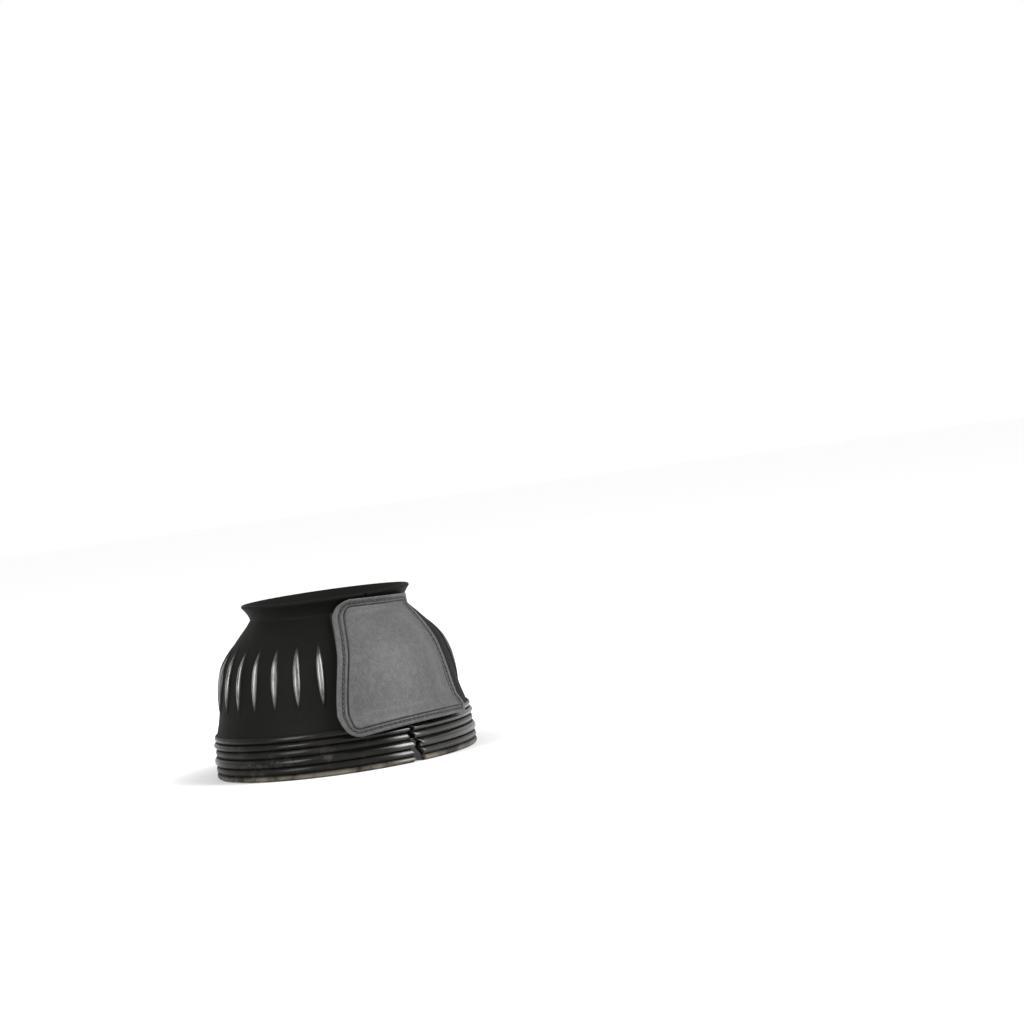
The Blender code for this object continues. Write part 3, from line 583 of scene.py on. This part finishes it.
def tongue_corners():
    low, high = BAND_HEIGHT + TONGUE_BAND_GAP, BELL_HEIGHT - TONGUE_COLLAR_DROP
    return (
        (-(FLAP_FREE_REACH_LOW - TONGUE_ROOT_TUCK_LOW), low),
        (TONGUE_TIP_REACH_LOW, low),
        (TONGUE_TIP_REACH_HIGH, high),
        (-(FLAP_FREE_REACH_HIGH + TONGUE_ROOT_SHOW_HIGH), high),
    )


def turned_round(corners):
    """The same corners, seen from the other side of the hinge."""
    return (corners[1], corners[0], corners[3], corners[2])


class Hinge:
    """A straight hinge line, with a table of where the plane through it crosses the bell."""

    def __init__(self, low, high, offset):
        start, end = lay(low, offset), lay(high, offset)
        outward = (start + end) / 2 - AXIS_SHIFT
        outward.z = 0.0
        outward.normalize()
        along = (end - start).normalized()
        self.side = along.cross((outward - along * outward.dot(along)).normalized())
        self.start = start
        self.heights = np.linspace(*HINGE_TABLE)
        self.places = np.array([self.find(height) for height in self.heights])

    def find(self, height):
        """The flat distance at which the hinge's plane crosses the bell at this height."""
        left, right = -RIM_RADIUS, RIM_RADIUS
        for _ in range(SEARCH_STEPS):
            middle = (left + right) / 2
            point = lay((middle, min(height, LIP_EDGE_HEIGHT)), 0.0)
            if (point - self.start).dot(self.side) > 0:
                right = middle
            else:
                left = middle
        return (left + right) / 2

    def across(self, height):
        return float(np.interp(height, self.heights, self.places))

    def parting(self, shift):
        """The line at this flat distance from the hinge, as a function of the height."""
        return lambda height: self.across(height) + shift

    def point(self, distance):
        """The point at this distance from the hinge's plane, on the +X side of it."""
        return self.start + self.side * distance


def offset_line(start, end, inset, centre):
    """A side moved towards the centre, as a point and a direction."""
    run = Vector((end[0] - start[0], end[1] - start[1])).normalized()
    normal = Vector((-run.y, run.x))
    if normal.dot(Vector(centre) - Vector(start)) < 0:
        normal = -normal
    return Vector(start) + normal * inset, run


def crossing(first, second):
    """The point where two lines meet."""
    (p, u), (q, v) = first, second
    cross = u.x * v.y - u.y * v.x
    gap = q - p
    return p + u * ((gap.x * v.y - gap.y * v.x) / cross)


def round_corner(corner, before, after, radius):
    """The points of an arc in a corner."""
    back, on = (before - corner).normalized(), (after - corner).normalized()
    half = back.angle(on) / 2
    reach = radius / math.tan(half)
    centre = corner + (back + on).normalized() * (radius / math.sin(half))
    start = (corner + back * reach - centre).normalized()
    end = (corner + on * reach - centre).normalized()
    steps = 2 * CORNER_STEPS
    return [centre + start.slerp(end, i / steps) * radius for i in range(steps + 1)]


def spread(start, end, steps):
    return [start.lerp(end, i / steps) for i in range(steps + 1)]


def outline(corners, parting, radius, insets, across_steps, up_steps):
    """The low, far and high side on one side of a parting line, moved in and rounded.

    The points run from the parting line's low end round to its high end.
    """
    centre = [sum(corner[k] for corner in corners) / len(corners) for k in (0, 1)]
    low, far, high = (
        offset_line(corners[i], corners[i + 1], inset, centre) for i, inset in enumerate(insets)
    )
    ends = []
    for line, corner in ((low, corners[0]), (high, corners[3])):
        height = corner[1]
        for _ in range(SEARCH_STEPS):
            across = parting(height)
            height = line[0].y + line[1].y / line[1].x * (across - line[0].x)
        ends.append(Vector((across, height)))
    first, second = crossing(low, far), crossing(far, high)
    turn = max(radius - insets[1], radius * CORNER_KEEP)
    low_turn = round_corner(first, ends[0], second, turn)
    high_turn = round_corner(second, first, ends[1], turn)
    points = spread(ends[0], low_turn[0], across_steps - CORNER_STEPS)[:-1]
    points += low_turn
    points += spread(low_turn[-1], high_turn[0], up_steps - 2 * CORNER_STEPS)[1:-1]
    points += high_turn
    points += spread(high_turn[-1], ends[1], across_steps - CORNER_STEPS)[1:]
    return points


def border_insets(far_width, share):
    return (BORDER_LOW_WIDTH * share, far_width * share, BORDER_HIGH_WIDTH * share)


def filled(edge, parting, across_steps, up_steps):
    """Rows of points that fill an outline."""
    low = edge[: across_steps + 1]
    far = edge[across_steps : across_steps + up_steps + 1]
    high = edge[across_steps + up_steps :][::-1]
    rows = []
    for j in range(up_steps + 1):
        t = j / up_steps
        height = between(low[0].y, high[0].y, t)
        near = Vector((parting(height), height))
        row = []
        for i in range(across_steps + 1):
            s = i / across_steps
            sides = low[i].lerp(high[i], t) + near.lerp(far[j], s)
            corners = low[0].lerp(low[-1], s).lerp(high[0].lerp(high[-1], s), t)
            row.append(sides - corners)
        row[-1] = far[j]
        rows.append(row)
    rows[0], rows[-1] = list(low), list(high)
    return rows


# ---- the flap ----


def flap_lift(point, hinge):
    """How far the flap's back rises over the tongue, and off the bell at its low free corner."""
    share = (hinge.across(point[1]) - point[0]) / FLAP_LIFT_RUN
    free = smooth(-point[0] / FLAP_FREE_REACH_LOW)
    low = smooth((NECK_HEIGHT - point[1]) / (NECK_HEIGHT - BAND_HEIGHT))
    return STACK * smooth(share) + FLAP_EDGE_LIFT * free * low


def raised(hinge, point, height):
    """A flat point of the flap, this far above its back, in its place."""
    return lay(point, flap_lift(point, hinge) + height)


def pad_distance(point):
    """How far a flat point of the flap lies inside the border, from its nearest side."""
    corners = flap_corners()
    widths = (BORDER_LOW_WIDTH, BORDER_FREE_WIDTH, BORDER_HIGH_WIDTH, BORDER_ROOT_WIDTH)
    found = []
    for start, end, width in zip(corners, corners[1:] + corners[:1], widths):
        run = Vector((end[0] - start[0], end[1] - start[1])).normalized()
        gap = Vector((point[0] - start[0], point[1] - start[1]))
        found.append(abs(run.x * gap.y - run.y * gap.x) - width)
    return min(found)


def pad_height(point):
    """The padded face above the flap's back, with the slight hollows and swells of soft leather."""
    inside = pad_distance(point)
    crown = FLAP_CROWN * smooth(inside / FLAP_CROWN_RUN)
    waves = wander(point[0] * PAD_WAVES[0], point[1] * PAD_WAVES[1], PAD_SEED)
    soft = PAD_UNEVENNESS * smooth(inside / PAD_SETTLE_RUN) * waves
    return FLAP_THICKNESS + PAD_STEP + crown + soft


def border_height(point, share, height):
    """The border's face above the flap's back, with each stitch's pull, easing into the pad."""
    pull = STITCH_PUCKER * math.sin(math.tau * (point[0] + point[1]) / STITCH_PITCH)
    ease = smooth((share - PAD_EASE_START) / PAD_EASE_RUN)
    pad = pad_height(point) + height * PAD_EASE_DIP
    return between(FLAP_THICKNESS + height + pull, pad, ease)


def painted_groove_shade(share):
    """How much painted shade darkens the border at a share of its width: most in the crease, some at
    the stitches.
    """
    crease = smooth(1 - abs(share - CREASE_SHARE) / CREASE_REACH)
    stitches = smooth(1 - abs(share - THREAD_INSET_SHARE) / STITCH_SHADE_REACH)
    return max(crease, STITCH_SHADE * stitches)


def flap_sides():
    """Corners, border width, corner radius, steps and hollow back of the free and the sewn side."""
    return (
        (flap_corners(), BORDER_FREE_WIDTH, FLAP_FREE_CORNER, ACROSS_STEPS, True),
        (turned_round(flap_corners()), BORDER_ROOT_WIDTH, FLAP_ROOT_CORNER, ROOT_STEPS, False),
    )


def flap_patches(hinge, side, marks):
    """The leather on one side of the hinge: outer face, back, and the edge between them.

    The border's points go to marks, each with its painted shade.
    """
    corners, width, radius, steps, hollow = side

    def ring(share):
        insets = border_insets(width, share)
        return outline(corners, hinge.across, radius, insets, steps, UP_STEPS)

    def face_point(point):
        return border.get(tuple(point)) or raised(hinge, point, pad_height(point))

    def roof_point(point):
        if not hollow:
            return raised(hinge, point, 0.0)
        off = abs(hinge.across(point[1]) - point[0])
        away = smooth((off - RECESS_START) / RECESS_RUN)
        return raised(hinge, point, (pad_height(point) - FLAP_WEB) * away)

    rings = []
    for share, height in BORDER_SECTION:
        edge = ring(share)
        rings.append([raised(hinge, p, border_height(p, share, height * MM)) for p in edge])
        marks.extend((point, painted_groove_shade(share)) for point in rings[-1])
    border = {tuple(p): point for p, point in zip(edge, rings[-1])}
    face = [[face_point(p) for p in row] for row in filled(edge, hinge.across, steps, UP_STEPS)]
    backs = [[raised(hinge, p, rise * MM) for p in ring(share)] for share, rise in BACK_SECTION]
    inner = ring(1.0)
    wall = [raised(hinge, p, 0.0) for p in inner]
    top = [roof_point(p) for p in inner]
    roof = [[roof_point(p) for p in row] for row in filled(inner, hinge.across, steps, UP_STEPS)]
    middle = [low.lerp(high, 0.5) for low, high in zip(backs[0], rings[0])]
    return [*pairs(rings), face, *pairs([*backs, wall, top]), roof, [backs[0], middle, rings[0]]]


def make_flap(hinge):
    """The flap's leather, with the painted shade of its crease and stitch channel as a value on its
    points.
    """
    bm = bmesh.new()
    marks = []
    for side in flap_sides():
        for rows in flap_patches(hinge, side, marks):
            add_patch(bm, rows)
    made = new_mesh("flap_leather", bm)
    tree = KDTree(len(marks))
    for i, (point, _) in enumerate(marks):
        tree.insert(point, i)
    tree.balance()
    # The value is the painted shade of the border's crease and stitch channel
    layer = made.data.attributes.new("crease", "FLOAT", "POINT")
    for vert, value in zip(made.data.vertices, layer.data):
        _, i, distance = tree.find(vert.co)
        value.value = marks[i][1] if distance < MARK_REACH else 0.0
    return made


# ---- closed layers: foam, loop pile and hook tape ----


def closed_layer(name, rings, steps, put):
    """A layer with its upper side, its under side, and the end between them along the hinge.

    A ring is an outline, its drop at the rounded edge and its parting line, from the edge inwards.
    """
    bm = bmesh.new()
    grid = filled(rings[-1][0], rings[-1][2], *steps)
    ends = []
    for top in (True, False):
        lines = [[put(p, drop, top) for p in edge] for edge, drop, _ in rings]
        rows = [[put(p, 0.0, top) for p in row] for row in grid]
        for patch in [*pairs(lines), rows]:
            add_patch(bm, patch)
        near = [line[0] for line in lines] + [row[0] for row in rows[1:-1]]
        ends.append(near + [line[-1] for line in lines[::-1]])
    add_patch(bm, ends)
    return new_mesh(name, bm)


def make_flap_layer(name, hinge, space, back, face):
    """A layer inside the flap's border, between the heights that back and face give."""
    rings = []
    for inset, drop in LAYER_EDGE:
        insets = [width + PANEL_PLAY + inset for width in border_insets(BORDER_FREE_WIDTH, 1.0)]
        parting = hinge.parting(-space - inset)
        edge = outline(flap_corners(), parting, FLAP_FREE_CORNER, insets, *LAYER_STEPS)
        rings.append((edge, drop, parting))

    def put(point, drop, top):
        low, high = back(point), face(point)
        height = between(high, low, drop) if top else between(low, high, drop)
        return raised(hinge, point, height)

    return closed_layer(name, rings, LAYER_STEPS, put)


def make_hooks(hinge):
    """The hook tape's backing on the tongue."""
    low = TONGUE_THICKNESS + LAYER_GAP
    high = low + HOOK_THICKNESS
    rings = []
    for inset, drop in HOOK_EDGE:
        insets = [HOOK_MARGIN + inset] * 3
        parting = hinge.parting(HOOK_HINGE_SPACE + inset)
        edge = outline(tongue_corners(), parting, TONGUE_CORNER, insets, *HOOK_STEPS)
        rings.append((edge, drop, parting))

    def put(point, drop, top):
        return lay(point, high - drop if top else low + drop)

    return closed_layer("tongue_hooks", rings, HOOK_STEPS, put)


# ---- the tongue ----


def tongue_sides():
    """Corners, corner radius and steps of the free side and of the sewn side."""
    return (
        (tongue_corners(), TONGUE_CORNER, TONGUE_STEPS),
        (turned_round(tongue_corners()), TONGUE_ROOT_CORNER, TONGUE_ROOT_STEPS),
    )


def make_tongue(hinge):
    bm = bmesh.new()
    for corners, radius, steps in tongue_sides():
        edges = []
        for inset, _, _ in TONGUE_EDGE:
            edges.append(outline(corners, hinge.across, radius, [inset] * 3, steps, UP_STEPS))
        grid = filled(edges[-1], hinge.across, steps, UP_STEPS)
        rims = []
        for top in (True, False):
            lines = []
            for edge, (_, drop, rise) in zip(edges, TONGUE_EDGE):
                lines.append([lay(p, TONGUE_THICKNESS - drop if top else rise) for p in edge])
            rows = [[lay(p, TONGUE_THICKNESS if top else 0.0) for p in row] for row in grid]
            for patch in [*pairs(lines), rows]:
                add_patch(bm, patch)
            rims.append(lines[0])
        add_patch(bm, rims)
    return new_mesh("tongue_leather", bm)


# ---- stitches ----


def stitch_ends(path):
    """The start and end of each stitch along a line of flat points."""
    lengths = [0.0]
    for first, second in zip(path, path[1:]):
        lengths.append(lengths[-1] + (second - first).length)
    count = int(lengths[-1] / STITCH_PITCH)
    step = lengths[-1] / count
    gap = step * (1 - STITCH_LENGTH_SHARE) / 2

    def at(distance):
        return Vector([float(np.interp(distance, lengths, column)) for column in zip(*path)])

    return [(at(i * step + gap), at((i + 1) * step - gap)) for i in range(count)]


def add_stitch(bm, start, end, put, seat):
    """One stitch: a slightly turned strand that dives into the leather at both ends."""
    run = (end - start).normalized()
    normal = Vector((-run.y, run.x))
    slant = math.tan(STITCH_SLANT) * (end - start).length
    rings = []
    for i in range(STITCH_RINGS + 1):
        t = i / STITCH_RINGS
        lift = math.sin(math.pi * t) ** 0.5
        flat = start.lerp(end, t) + normal * ((t - 0.5) * slant)
        radius = STITCH_RADIUS * between(STITCH_END_SHARE, 1.0, lift)
        height = seat + radius + STITCH_RISE * lift
        centre = put(flat, height)
        along = (put(flat + run * LOOK_AHEAD, height) - centre).normalized()
        up = (put(flat, seat + MM) - put(flat, seat)).normalized()
        side = along.cross(up).normalized()
        up = side.cross(along)
        ring = []
        for j in range(STITCH_SIDES):
            angle = math.tau * (j + 0.5) / STITCH_SIDES
            spoke = side * math.cos(angle) + up * math.sin(angle)
            ring.append(bm.verts.new(centre + spoke * radius))
        rings.append(ring)
    for first, second in zip(rings, rings[1:]):
        for j in range(STITCH_SIDES):
            k = (j + 1) % STITCH_SIDES
            bm.faces.new((first[j], first[k], second[k], second[j]))
    bm.faces.new(rings[0])
    bm.faces.new(rings[-1])


def make_stitches(name, paths, put, seat):
    bm = bmesh.new()
    for path in paths:
        for start, end in stitch_ends(path):
            add_stitch(bm, start, end, put, seat)
    return new_mesh(name, bm, weld=False)


def make_flap_stitches(hinge):
    paths = []
    for corners, width, radius, steps, _ in flap_sides():
        insets = border_insets(width, THREAD_INSET_SHARE)
        paths.append(outline(corners, hinge.across, radius, insets, steps, UP_STEPS))
    return make_stitches("flap_stitches", paths, partial(raised, hinge), FLAP_STITCH_SEAT)


def make_tongue_stitches(hinge):
    paths = []
    for corners, radius, steps in tongue_sides():
        insets = [HOOK_MARGIN / 2] * 3
        paths.append(outline(corners, hinge.across, radius, insets, steps, UP_STEPS))
    return make_stitches("tongue_stitches", paths, lay, TONGUE_STITCH_SEAT)


# ---- materials ----


class Nodes:
    """A small helper for the nodes of a material or a world."""

    def __init__(self, owner):
        owner.use_nodes = True
        self.owner = owner
        self.tree = owner.node_tree

    def give(self, node, values):
        """Feed a node's inputs with numbers, colours or other nodes' outputs."""
        for socket, value in values.items():
            target = node.inputs[socket]
            if isinstance(value, bpy.types.NodeSocket):
                self.tree.links.new(value, target)
            elif target.type == "RGBA":
                target.default_value = (*value, 1.0)
            else:
                target.default_value = value

    def add(self, kind, values=None, **settings):
        node = self.tree.nodes.new("ShaderNode" + kind)
        for key, value in settings.items():
            setattr(node, key, value)
        self.give(node, values or {})
        return node

    def math(self, operation, first, second):
        return self.add("Math", {0: first, 1: second}, operation=operation).outputs[0]

    def seen(self):
        """1 where a camera, glossy or transmission ray arrives: what shows the background."""
        path = self.add("LightPath").outputs
        total = path["Is Camera Ray"]
        for kind in ("Is Glossy Ray", "Is Transmission Ray"):
            total = self.math("MAXIMUM", total, path[kind])
        return total


class Look(Nodes):
    """One material, and the patterns that feed its shader."""

    def __init__(self, name):
        super().__init__(bpy.data.materials.new(name))
        self.shader = self.tree.nodes["Principled BSDF"]
        self.spot = self.add("TexCoord").outputs["Object"]

    def shade(self, values):
        """Set the shader's inputs and return the material."""
        self.give(self.shader, values)
        return self.owner

    def point_value(self, name):
        return self.add("Attribute", attribute_name=name).outputs["Fac"]

    def noise(self, scale, detail, roughness, stretch=None, distortion=0.0):
        spot = self.spot
        if stretch is not None:
            spot = self.add("Mapping", {"Vector": spot, "Scale": stretch}).outputs["Vector"]
        values = {"Vector": spot, "Scale": scale, "Detail": detail, "Roughness": roughness}
        values["Distortion"] = distortion
        return self.add("TexNoise", values).outputs["Fac"]

    def cells(self, scale, randomness=1.0):
        values = {"Vector": self.spot, "Scale": scale, "Randomness": randomness}
        return self.add("TexVoronoi", values, feature="F1").outputs["Distance"]

    def span(self, source, low, high):
        """A soft step from 0 at low to 1 at high, whichever of the two is the greater."""
        values = {"Value": source, "From Min": low, "From Max": high}
        node = self.add("MapRange", values, interpolation_type="SMOOTHSTEP")
        return node.outputs["Result"]

    def times(self, first, second):
        return self.math("MULTIPLY", first, second)

    def plus(self, first, second):
        return self.math("ADD", first, second)

    def without(self, share):
        return self.math("SUBTRACT", 1.0, share)

    def mix(self, factor, first, second):
        values = {"Factor": factor, "A": first, "B": second}
        return self.add("Mix", values, data_type="RGBA").outputs["Result"]

    def bump(self, height, distance, strength, after=None):
        values = {"Height": height, "Distance": distance, "Strength": strength}
        if after is not None:
            values["Normal"] = after
        return self.add("Bump", values).outputs["Normal"]


def rubber_material():
    """Near-black rubber: dull wall, polished ribs and ridges, rib crests paler from wear and painted
    highlight, dust on the band.
    """
    n = Look("black_rubber")
    crest = n.point_value("crest")
    x, y, z = n.add("SeparateXYZ", {0: n.spot}).outputs
    band, shoulder = n.span(z, 0.030, 0.002), n.span(z, 0.026, 0.032)

    smear = n.times(n.span(n.noise(38, 5, 0.62, (1, 1, 2.6), 0.8), 0.55, 0.78), band)
    smear = n.times(smear, n.times(n.span(n.noise(420, 4, 0.7), 0.56, 0.72), 0.55))
    on_crest = n.times(n.times(crest, band), n.span(n.noise(70, 6, 0.7), 0.50, 0.74))
    dust = n.plus(smear, n.times(on_crest, 0.40))
    rim = n.times(n.span(z, 0.0036, 0.0010), n.span(n.noise(55, 5, 0.7), 0.35, 0.62))
    dust = n.math("MINIMUM", n.plus(dust, n.times(rim, 0.8)), 1.0)

    tone = n.mix(n.noise(14, 3, 0.5), RUBBER_DEEP, RUBBER_PALE)
    # Paler rib crests: partly worn rubber, partly a painted highlight that shows from every side
    on_rib = n.times(n.span(crest, 0.30, 0.85), shoulder)
    rubbed_and_highlight = n.times(on_rib, n.span(n.noise(240, 4, 0.6, (1, 1, 0.3)), 0.30, 0.62))
    tone = n.mix(n.times(rubbed_and_highlight, 0.75), tone, RUBBER_RUBBED_AND_HIGHLIGHT)

    dull = n.plus(n.times(n.noise(130, 5, 0.65), 0.16), 0.56)
    worn = n.times(n.span(crest, 0.25, 0.80), 0.42)
    rough = n.plus(n.math("SUBTRACT", dull, worn), n.times(dust, 0.30))

    # Hands polish the ribs, and the ridges in front on the flap's sewn side
    handled = n.math("MAXIMUM", shoulder, n.span(y, -0.040, -0.066))
    left_alone = n.times(n.span(x, -0.008, -0.020), n.without(shoulder))
    handled = n.times(handled, n.without(n.times(left_alone, 0.85)))
    polish = n.plus(n.times(handled, 0.88), 0.12)

    fine = n.bump(n.noise(1500, 3, 0.6), 0.00003, 0.5)
    return n.shade({
        "Base Color": n.mix(dust, tone, DUST),
        "Roughness": rough,
        "Specular IOR Level": 0.05,
        "Coat Weight": n.times(n.span(crest, 0.18, 0.70), polish),
        "Coat Roughness": 0.22,
        "Coat IOR": 1.5,
        "Normal": n.bump(n.noise(150, 4, 0.6), 0.00010, 0.3, fine),
    })


def leather_material():
    """Mid-grey synthetic leather with a fine pebbled grain, soft sheen, and painted shade in its
    creases.
    """
    n = Look("grey_leather")
    crease = n.point_value("crease")
    pebble = n.span(n.cells(1150), 0.05, 0.55)
    streak = n.span(n.noise(90, 4, 0.6, (1, 1, 0.4), 0.5), 0.45, 0.7)
    mottle = n.span(n.noise(520, 4, 0.68, (1, 1, 0.55), 1.0), 0.42, 0.62)
    tone = n.mix(n.noise(26, 4, 0.55), LEATHER_DEEP, LEATHER_PALE)
    # The last mix darkens the crease and stitch channel: painted shade
    for factor, amount, colour in (
        (streak, 0.25, LEATHER_STREAK),
        (mottle, 0.50, LEATHER_MOTTLE),
        (pebble, 0.50, LEATHER_PEBBLE),
        (crease, 0.95, LEATHER_CREASE_SHADE),
    ):
        tone = n.mix(n.times(factor, amount), tone, colour)
    rough = n.plus(n.times(n.noise(240, 4, 0.6), 0.22), 0.44)
    fine = n.bump(n.noise(2300, 2, 0.6), 0.00003, 0.4, n.bump(pebble, 0.00007, 0.55))
    return n.shade({
        "Base Color": tone,
        "Roughness": n.plus(rough, n.times(crease, 0.3)),
        "Specular IOR Level": 0.26,
        "Sheen Weight": 0.10,
        "Sheen Roughness": 0.5,
        "Normal": n.bump(n.noise(300, 4, 0.6), 0.00032, 0.5, fine),
    })


def tongue_material():
    """The tongue's thin black synthetic leather."""
    n = Look("tongue_leather")
    pebble = n.span(n.cells(1300), 0.05, 0.55)
    tone = n.mix(n.noise(60, 4, 0.6), TONGUE_DEEP, TONGUE_PALE)
    return n.shade({
        "Base Color": n.mix(n.times(pebble, 0.4), tone, TONGUE_PEBBLE),
        "Roughness": n.plus(n.times(n.noise(200, 3, 0.6), 0.2), 0.45),
        "Specular IOR Level": 0.12,
        "Normal": n.bump(pebble, 0.00006, 0.5),
    })


def thread_material():
    """Black bonded thread with a twist."""
    n = Look("black_thread")
    values = {"Vector": n.spot, "Scale": 900, "Distortion": 1.5}
    twist = n.add("TexWave", values, wave_type="BANDS", bands_direction="DIAGONAL")
    fuzz = n.noise(2600, 2, 0.6)
    return n.shade({
        "Base Color": n.mix(fuzz, THREAD_DEEP, THREAD_PALE),
        "Roughness": n.plus(n.times(fuzz, 0.15), 0.5),
        "Normal": n.bump(twist.outputs["Fac"], 0.00006, 0.8),
    })


def foam_material():
    """Dark grey closed-cell foam."""
    n = Look("foam")
    cells = n.cells(1500)
    return n.shade({
        "Base Color": n.mix(cells, FOAM_DEEP, FOAM_PALE),
        "Roughness": n.plus(n.times(cells, 0.1), 0.85),
        "Normal": n.bump(cells, 0.00012, 0.8),
    })


def pile_material():
    """The black brushed loop pile."""
    n = Look("loop_pile")
    fur, clumps = n.noise(1700, 5, 0.75, (1, 1, 0.6), 1.2), n.noise(320, 4, 0.65)
    return n.shade({
        "Base Color": n.mix(fur, PILE_DEEP, PILE_PALE),
        "Roughness": n.plus(n.times(clumps, 0.1), 0.85),
        "Specular IOR Level": 0.08,
        "Sheen Weight": 0.04,
        "Sheen Roughness": 0.6,
        "Normal": n.bump(clumps, 0.0004, 0.5, n.bump(fur, 0.0003, 0.9)),
    })


def hook_material():
    """Black hook tape: rows of fine hooks on a woven ground."""
    n = Look("hook_tape")
    peaks = n.span(n.cells(850, 0.25), 0.45, 0.05)
    return n.shade({
        "Base Color": n.mix(peaks, HOOK_DEEP, HOOK_PALE),
        "Roughness": n.plus(n.times(peaks, 0.1), 0.45),
        "Specular IOR Level": 0.15,
        "Normal": n.bump(peaks, 0.0005, 1.0),
    })


# ---- stage ----


def make_floor():
    """A pale floor that glows white away from the boot, with a painted shadow pool where the glow
    fades near and under the boot; it keeps the boot's cast shadow.
    """
    bm = bmesh.new()
    bmesh.ops.create_circle(bm, cap_ends=True, radius=FLOOR_RADIUS, segments=FLOOR_SEGMENTS)
    floor = new_mesh("floor", bm, weld=False)
    floor.location.z = -FLOOR_DROP
    n = Look("pale_floor")
    away = n.add("VectorMath", {0: n.spot}, operation="LENGTH").outputs["Value"]
    # The glow fades out towards the boot: a painted shadow pool round and under it
    white = n.times(n.span(away, FLOOR_PAINTED_SHADOW_FULL_TO, FLOOR_PAINTED_SHADOW_END), FLOOR_GLOW)
    floor.data.materials.append(n.shade({
        "Base Color": FLOOR_TONE,
        "Roughness": 0.75,
        "Emission Color": WHITE,
        "Emission Strength": n.times(white, n.seen()),
    }))


def make_world():
    """A white backdrop, which lights the boot at a lower level than it shows."""
    n = Nodes(bpy.data.worlds.new("studio"))
    level = n.add("MapRange", {"Value": n.seen(), "To Min": WORLD_LEVEL})
    values = {"Color": WHITE, "Strength": level.outputs["Result"]}
    n.give(n.tree.nodes["Background"], values)
    bpy.context.scene.world = n.owner


def make_light(name, spot, size, watts):
    light = bpy.data.lights.new(name, "AREA")
    light.shape = "RECTANGLE"
    light.size, light.size_y = size
    light.energy = watts
    made = add_object(name, light)
    made.location = spot
    made.rotation_euler = (LIGHT_AIM - Vector(spot)).to_track_quat("-Z", "Y").to_euler()


def make_camera():
    """The photograph's camera: the middle of the base falls on BASE_PIXEL, the axis leans."""
    focal = CAMERA_DISTANCE * PIXELS_PER_METRE
    east, north = math.cos(CAMERA_AZIMUTH), math.sin(CAMERA_AZIMUTH)
    flat, rise = math.cos(CAMERA_ELEVATION), math.sin(CAMERA_ELEVATION)
    back, level = Vector((north * flat, -east * flat, rise)), Vector((east, north, 0.0))
    right = level * math.cos(CAMERA_ROLL) - back.cross(level) * math.sin(CAMERA_ROLL)
    turn = Matrix((right, back.cross(right), back)).transposed()
    middle = IMAGE_SIZE / 2
    base = ((BASE_PIXEL[0] - middle) / focal, (middle - BASE_PIXEL[1]) / focal, -1.0)
    ahead = Vector((0.0, 0.0, -1.0))
    turn = turn @ Vector(base).normalized().rotation_difference(ahead).to_matrix()
    camera = bpy.data.cameras.new("camera")
    camera.sensor_width = SENSOR
    camera.lens = focal / IMAGE_SIZE * SENSOR
    camera.clip_start, camera.clip_end = CAMERA_CLIP
    made = add_object("camera", camera)
    made.matrix_world = Matrix.Translation(AXIS_SHIFT + back * CAMERA_DISTANCE) @ turn.to_4x4()
    bpy.context.scene.camera = made


def dress(piece, look):
    piece.data.materials.append(look)
    return piece


make_camera()
make_world()
make_floor()
bpy.context.scene.view_settings.view_transform = "Standard"

root_low, _, _, root_high = flap_corners()
flap_hinge = Hinge(
    (root_low[0] - FLAP_ROOT_MARGIN, root_low[1]),
    (root_high[0] - FLAP_ROOT_MARGIN, root_high[1]),
    FLAP_THICKNESS + PAD_STEP + FLAP_CROWN,
)
tongue_low, _, _, tongue_high = tongue_corners()
tongue_hinge = Hinge(
    (tongue_low[0] + TONGUE_ROOT_MARGIN, tongue_low[1]),
    (tongue_high[0] + TONGUE_ROOT_MARGIN, tongue_high[1]),
    TONGUE_THICKNESS,
)

bell = dress(make_bell(), rubber_material())
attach(bell, "bell")
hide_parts("bell_shell")

flap = dress(make_flap(flap_hinge), leather_material())
pad = dress(
    make_flap_layer(
        "flap_pad",
        flap_hinge,
        FOAM_HINGE_SPACE,
        lambda p: LOOP_THICKNESS + LAYER_GAP,
        lambda p: pad_height(p) - FLAP_WEB - FOAM_FACE_GAP,
    ),
    foam_material(),
)
pile = dress(
    make_flap_layer(
        "flap_pile",
        flap_hinge,
        LOOP_HINGE_SPACE,
        lambda p: 0.0,
        lambda p: LOOP_THICKNESS,
    ),
    pile_material(),
)
thread = thread_material()
flap_stitches = dress(make_flap_stitches(flap_hinge), thread)
tongue = dress(make_tongue(tongue_hinge), tongue_material())
hooks = dress(make_hooks(tongue_hinge), hook_material())
tongue_stitches = dress(make_tongue_stitches(tongue_hinge), thread)

for piece in (flap, pad, pile, flap_stitches):
    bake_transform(piece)
for piece in (tongue, hooks, tongue_stitches):
    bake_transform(piece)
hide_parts("flap_cover", "flap_root")
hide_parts("flap_foam")
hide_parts("flap_loop_panel")
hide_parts("flap_border_thread", "flap_root_thread")
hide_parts("tongue", "tongue_root")
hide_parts("tongue_hook_panel")
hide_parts("tongue_border_thread", "tongue_root_thread")

for light in LIGHTS:
    make_light(*light)
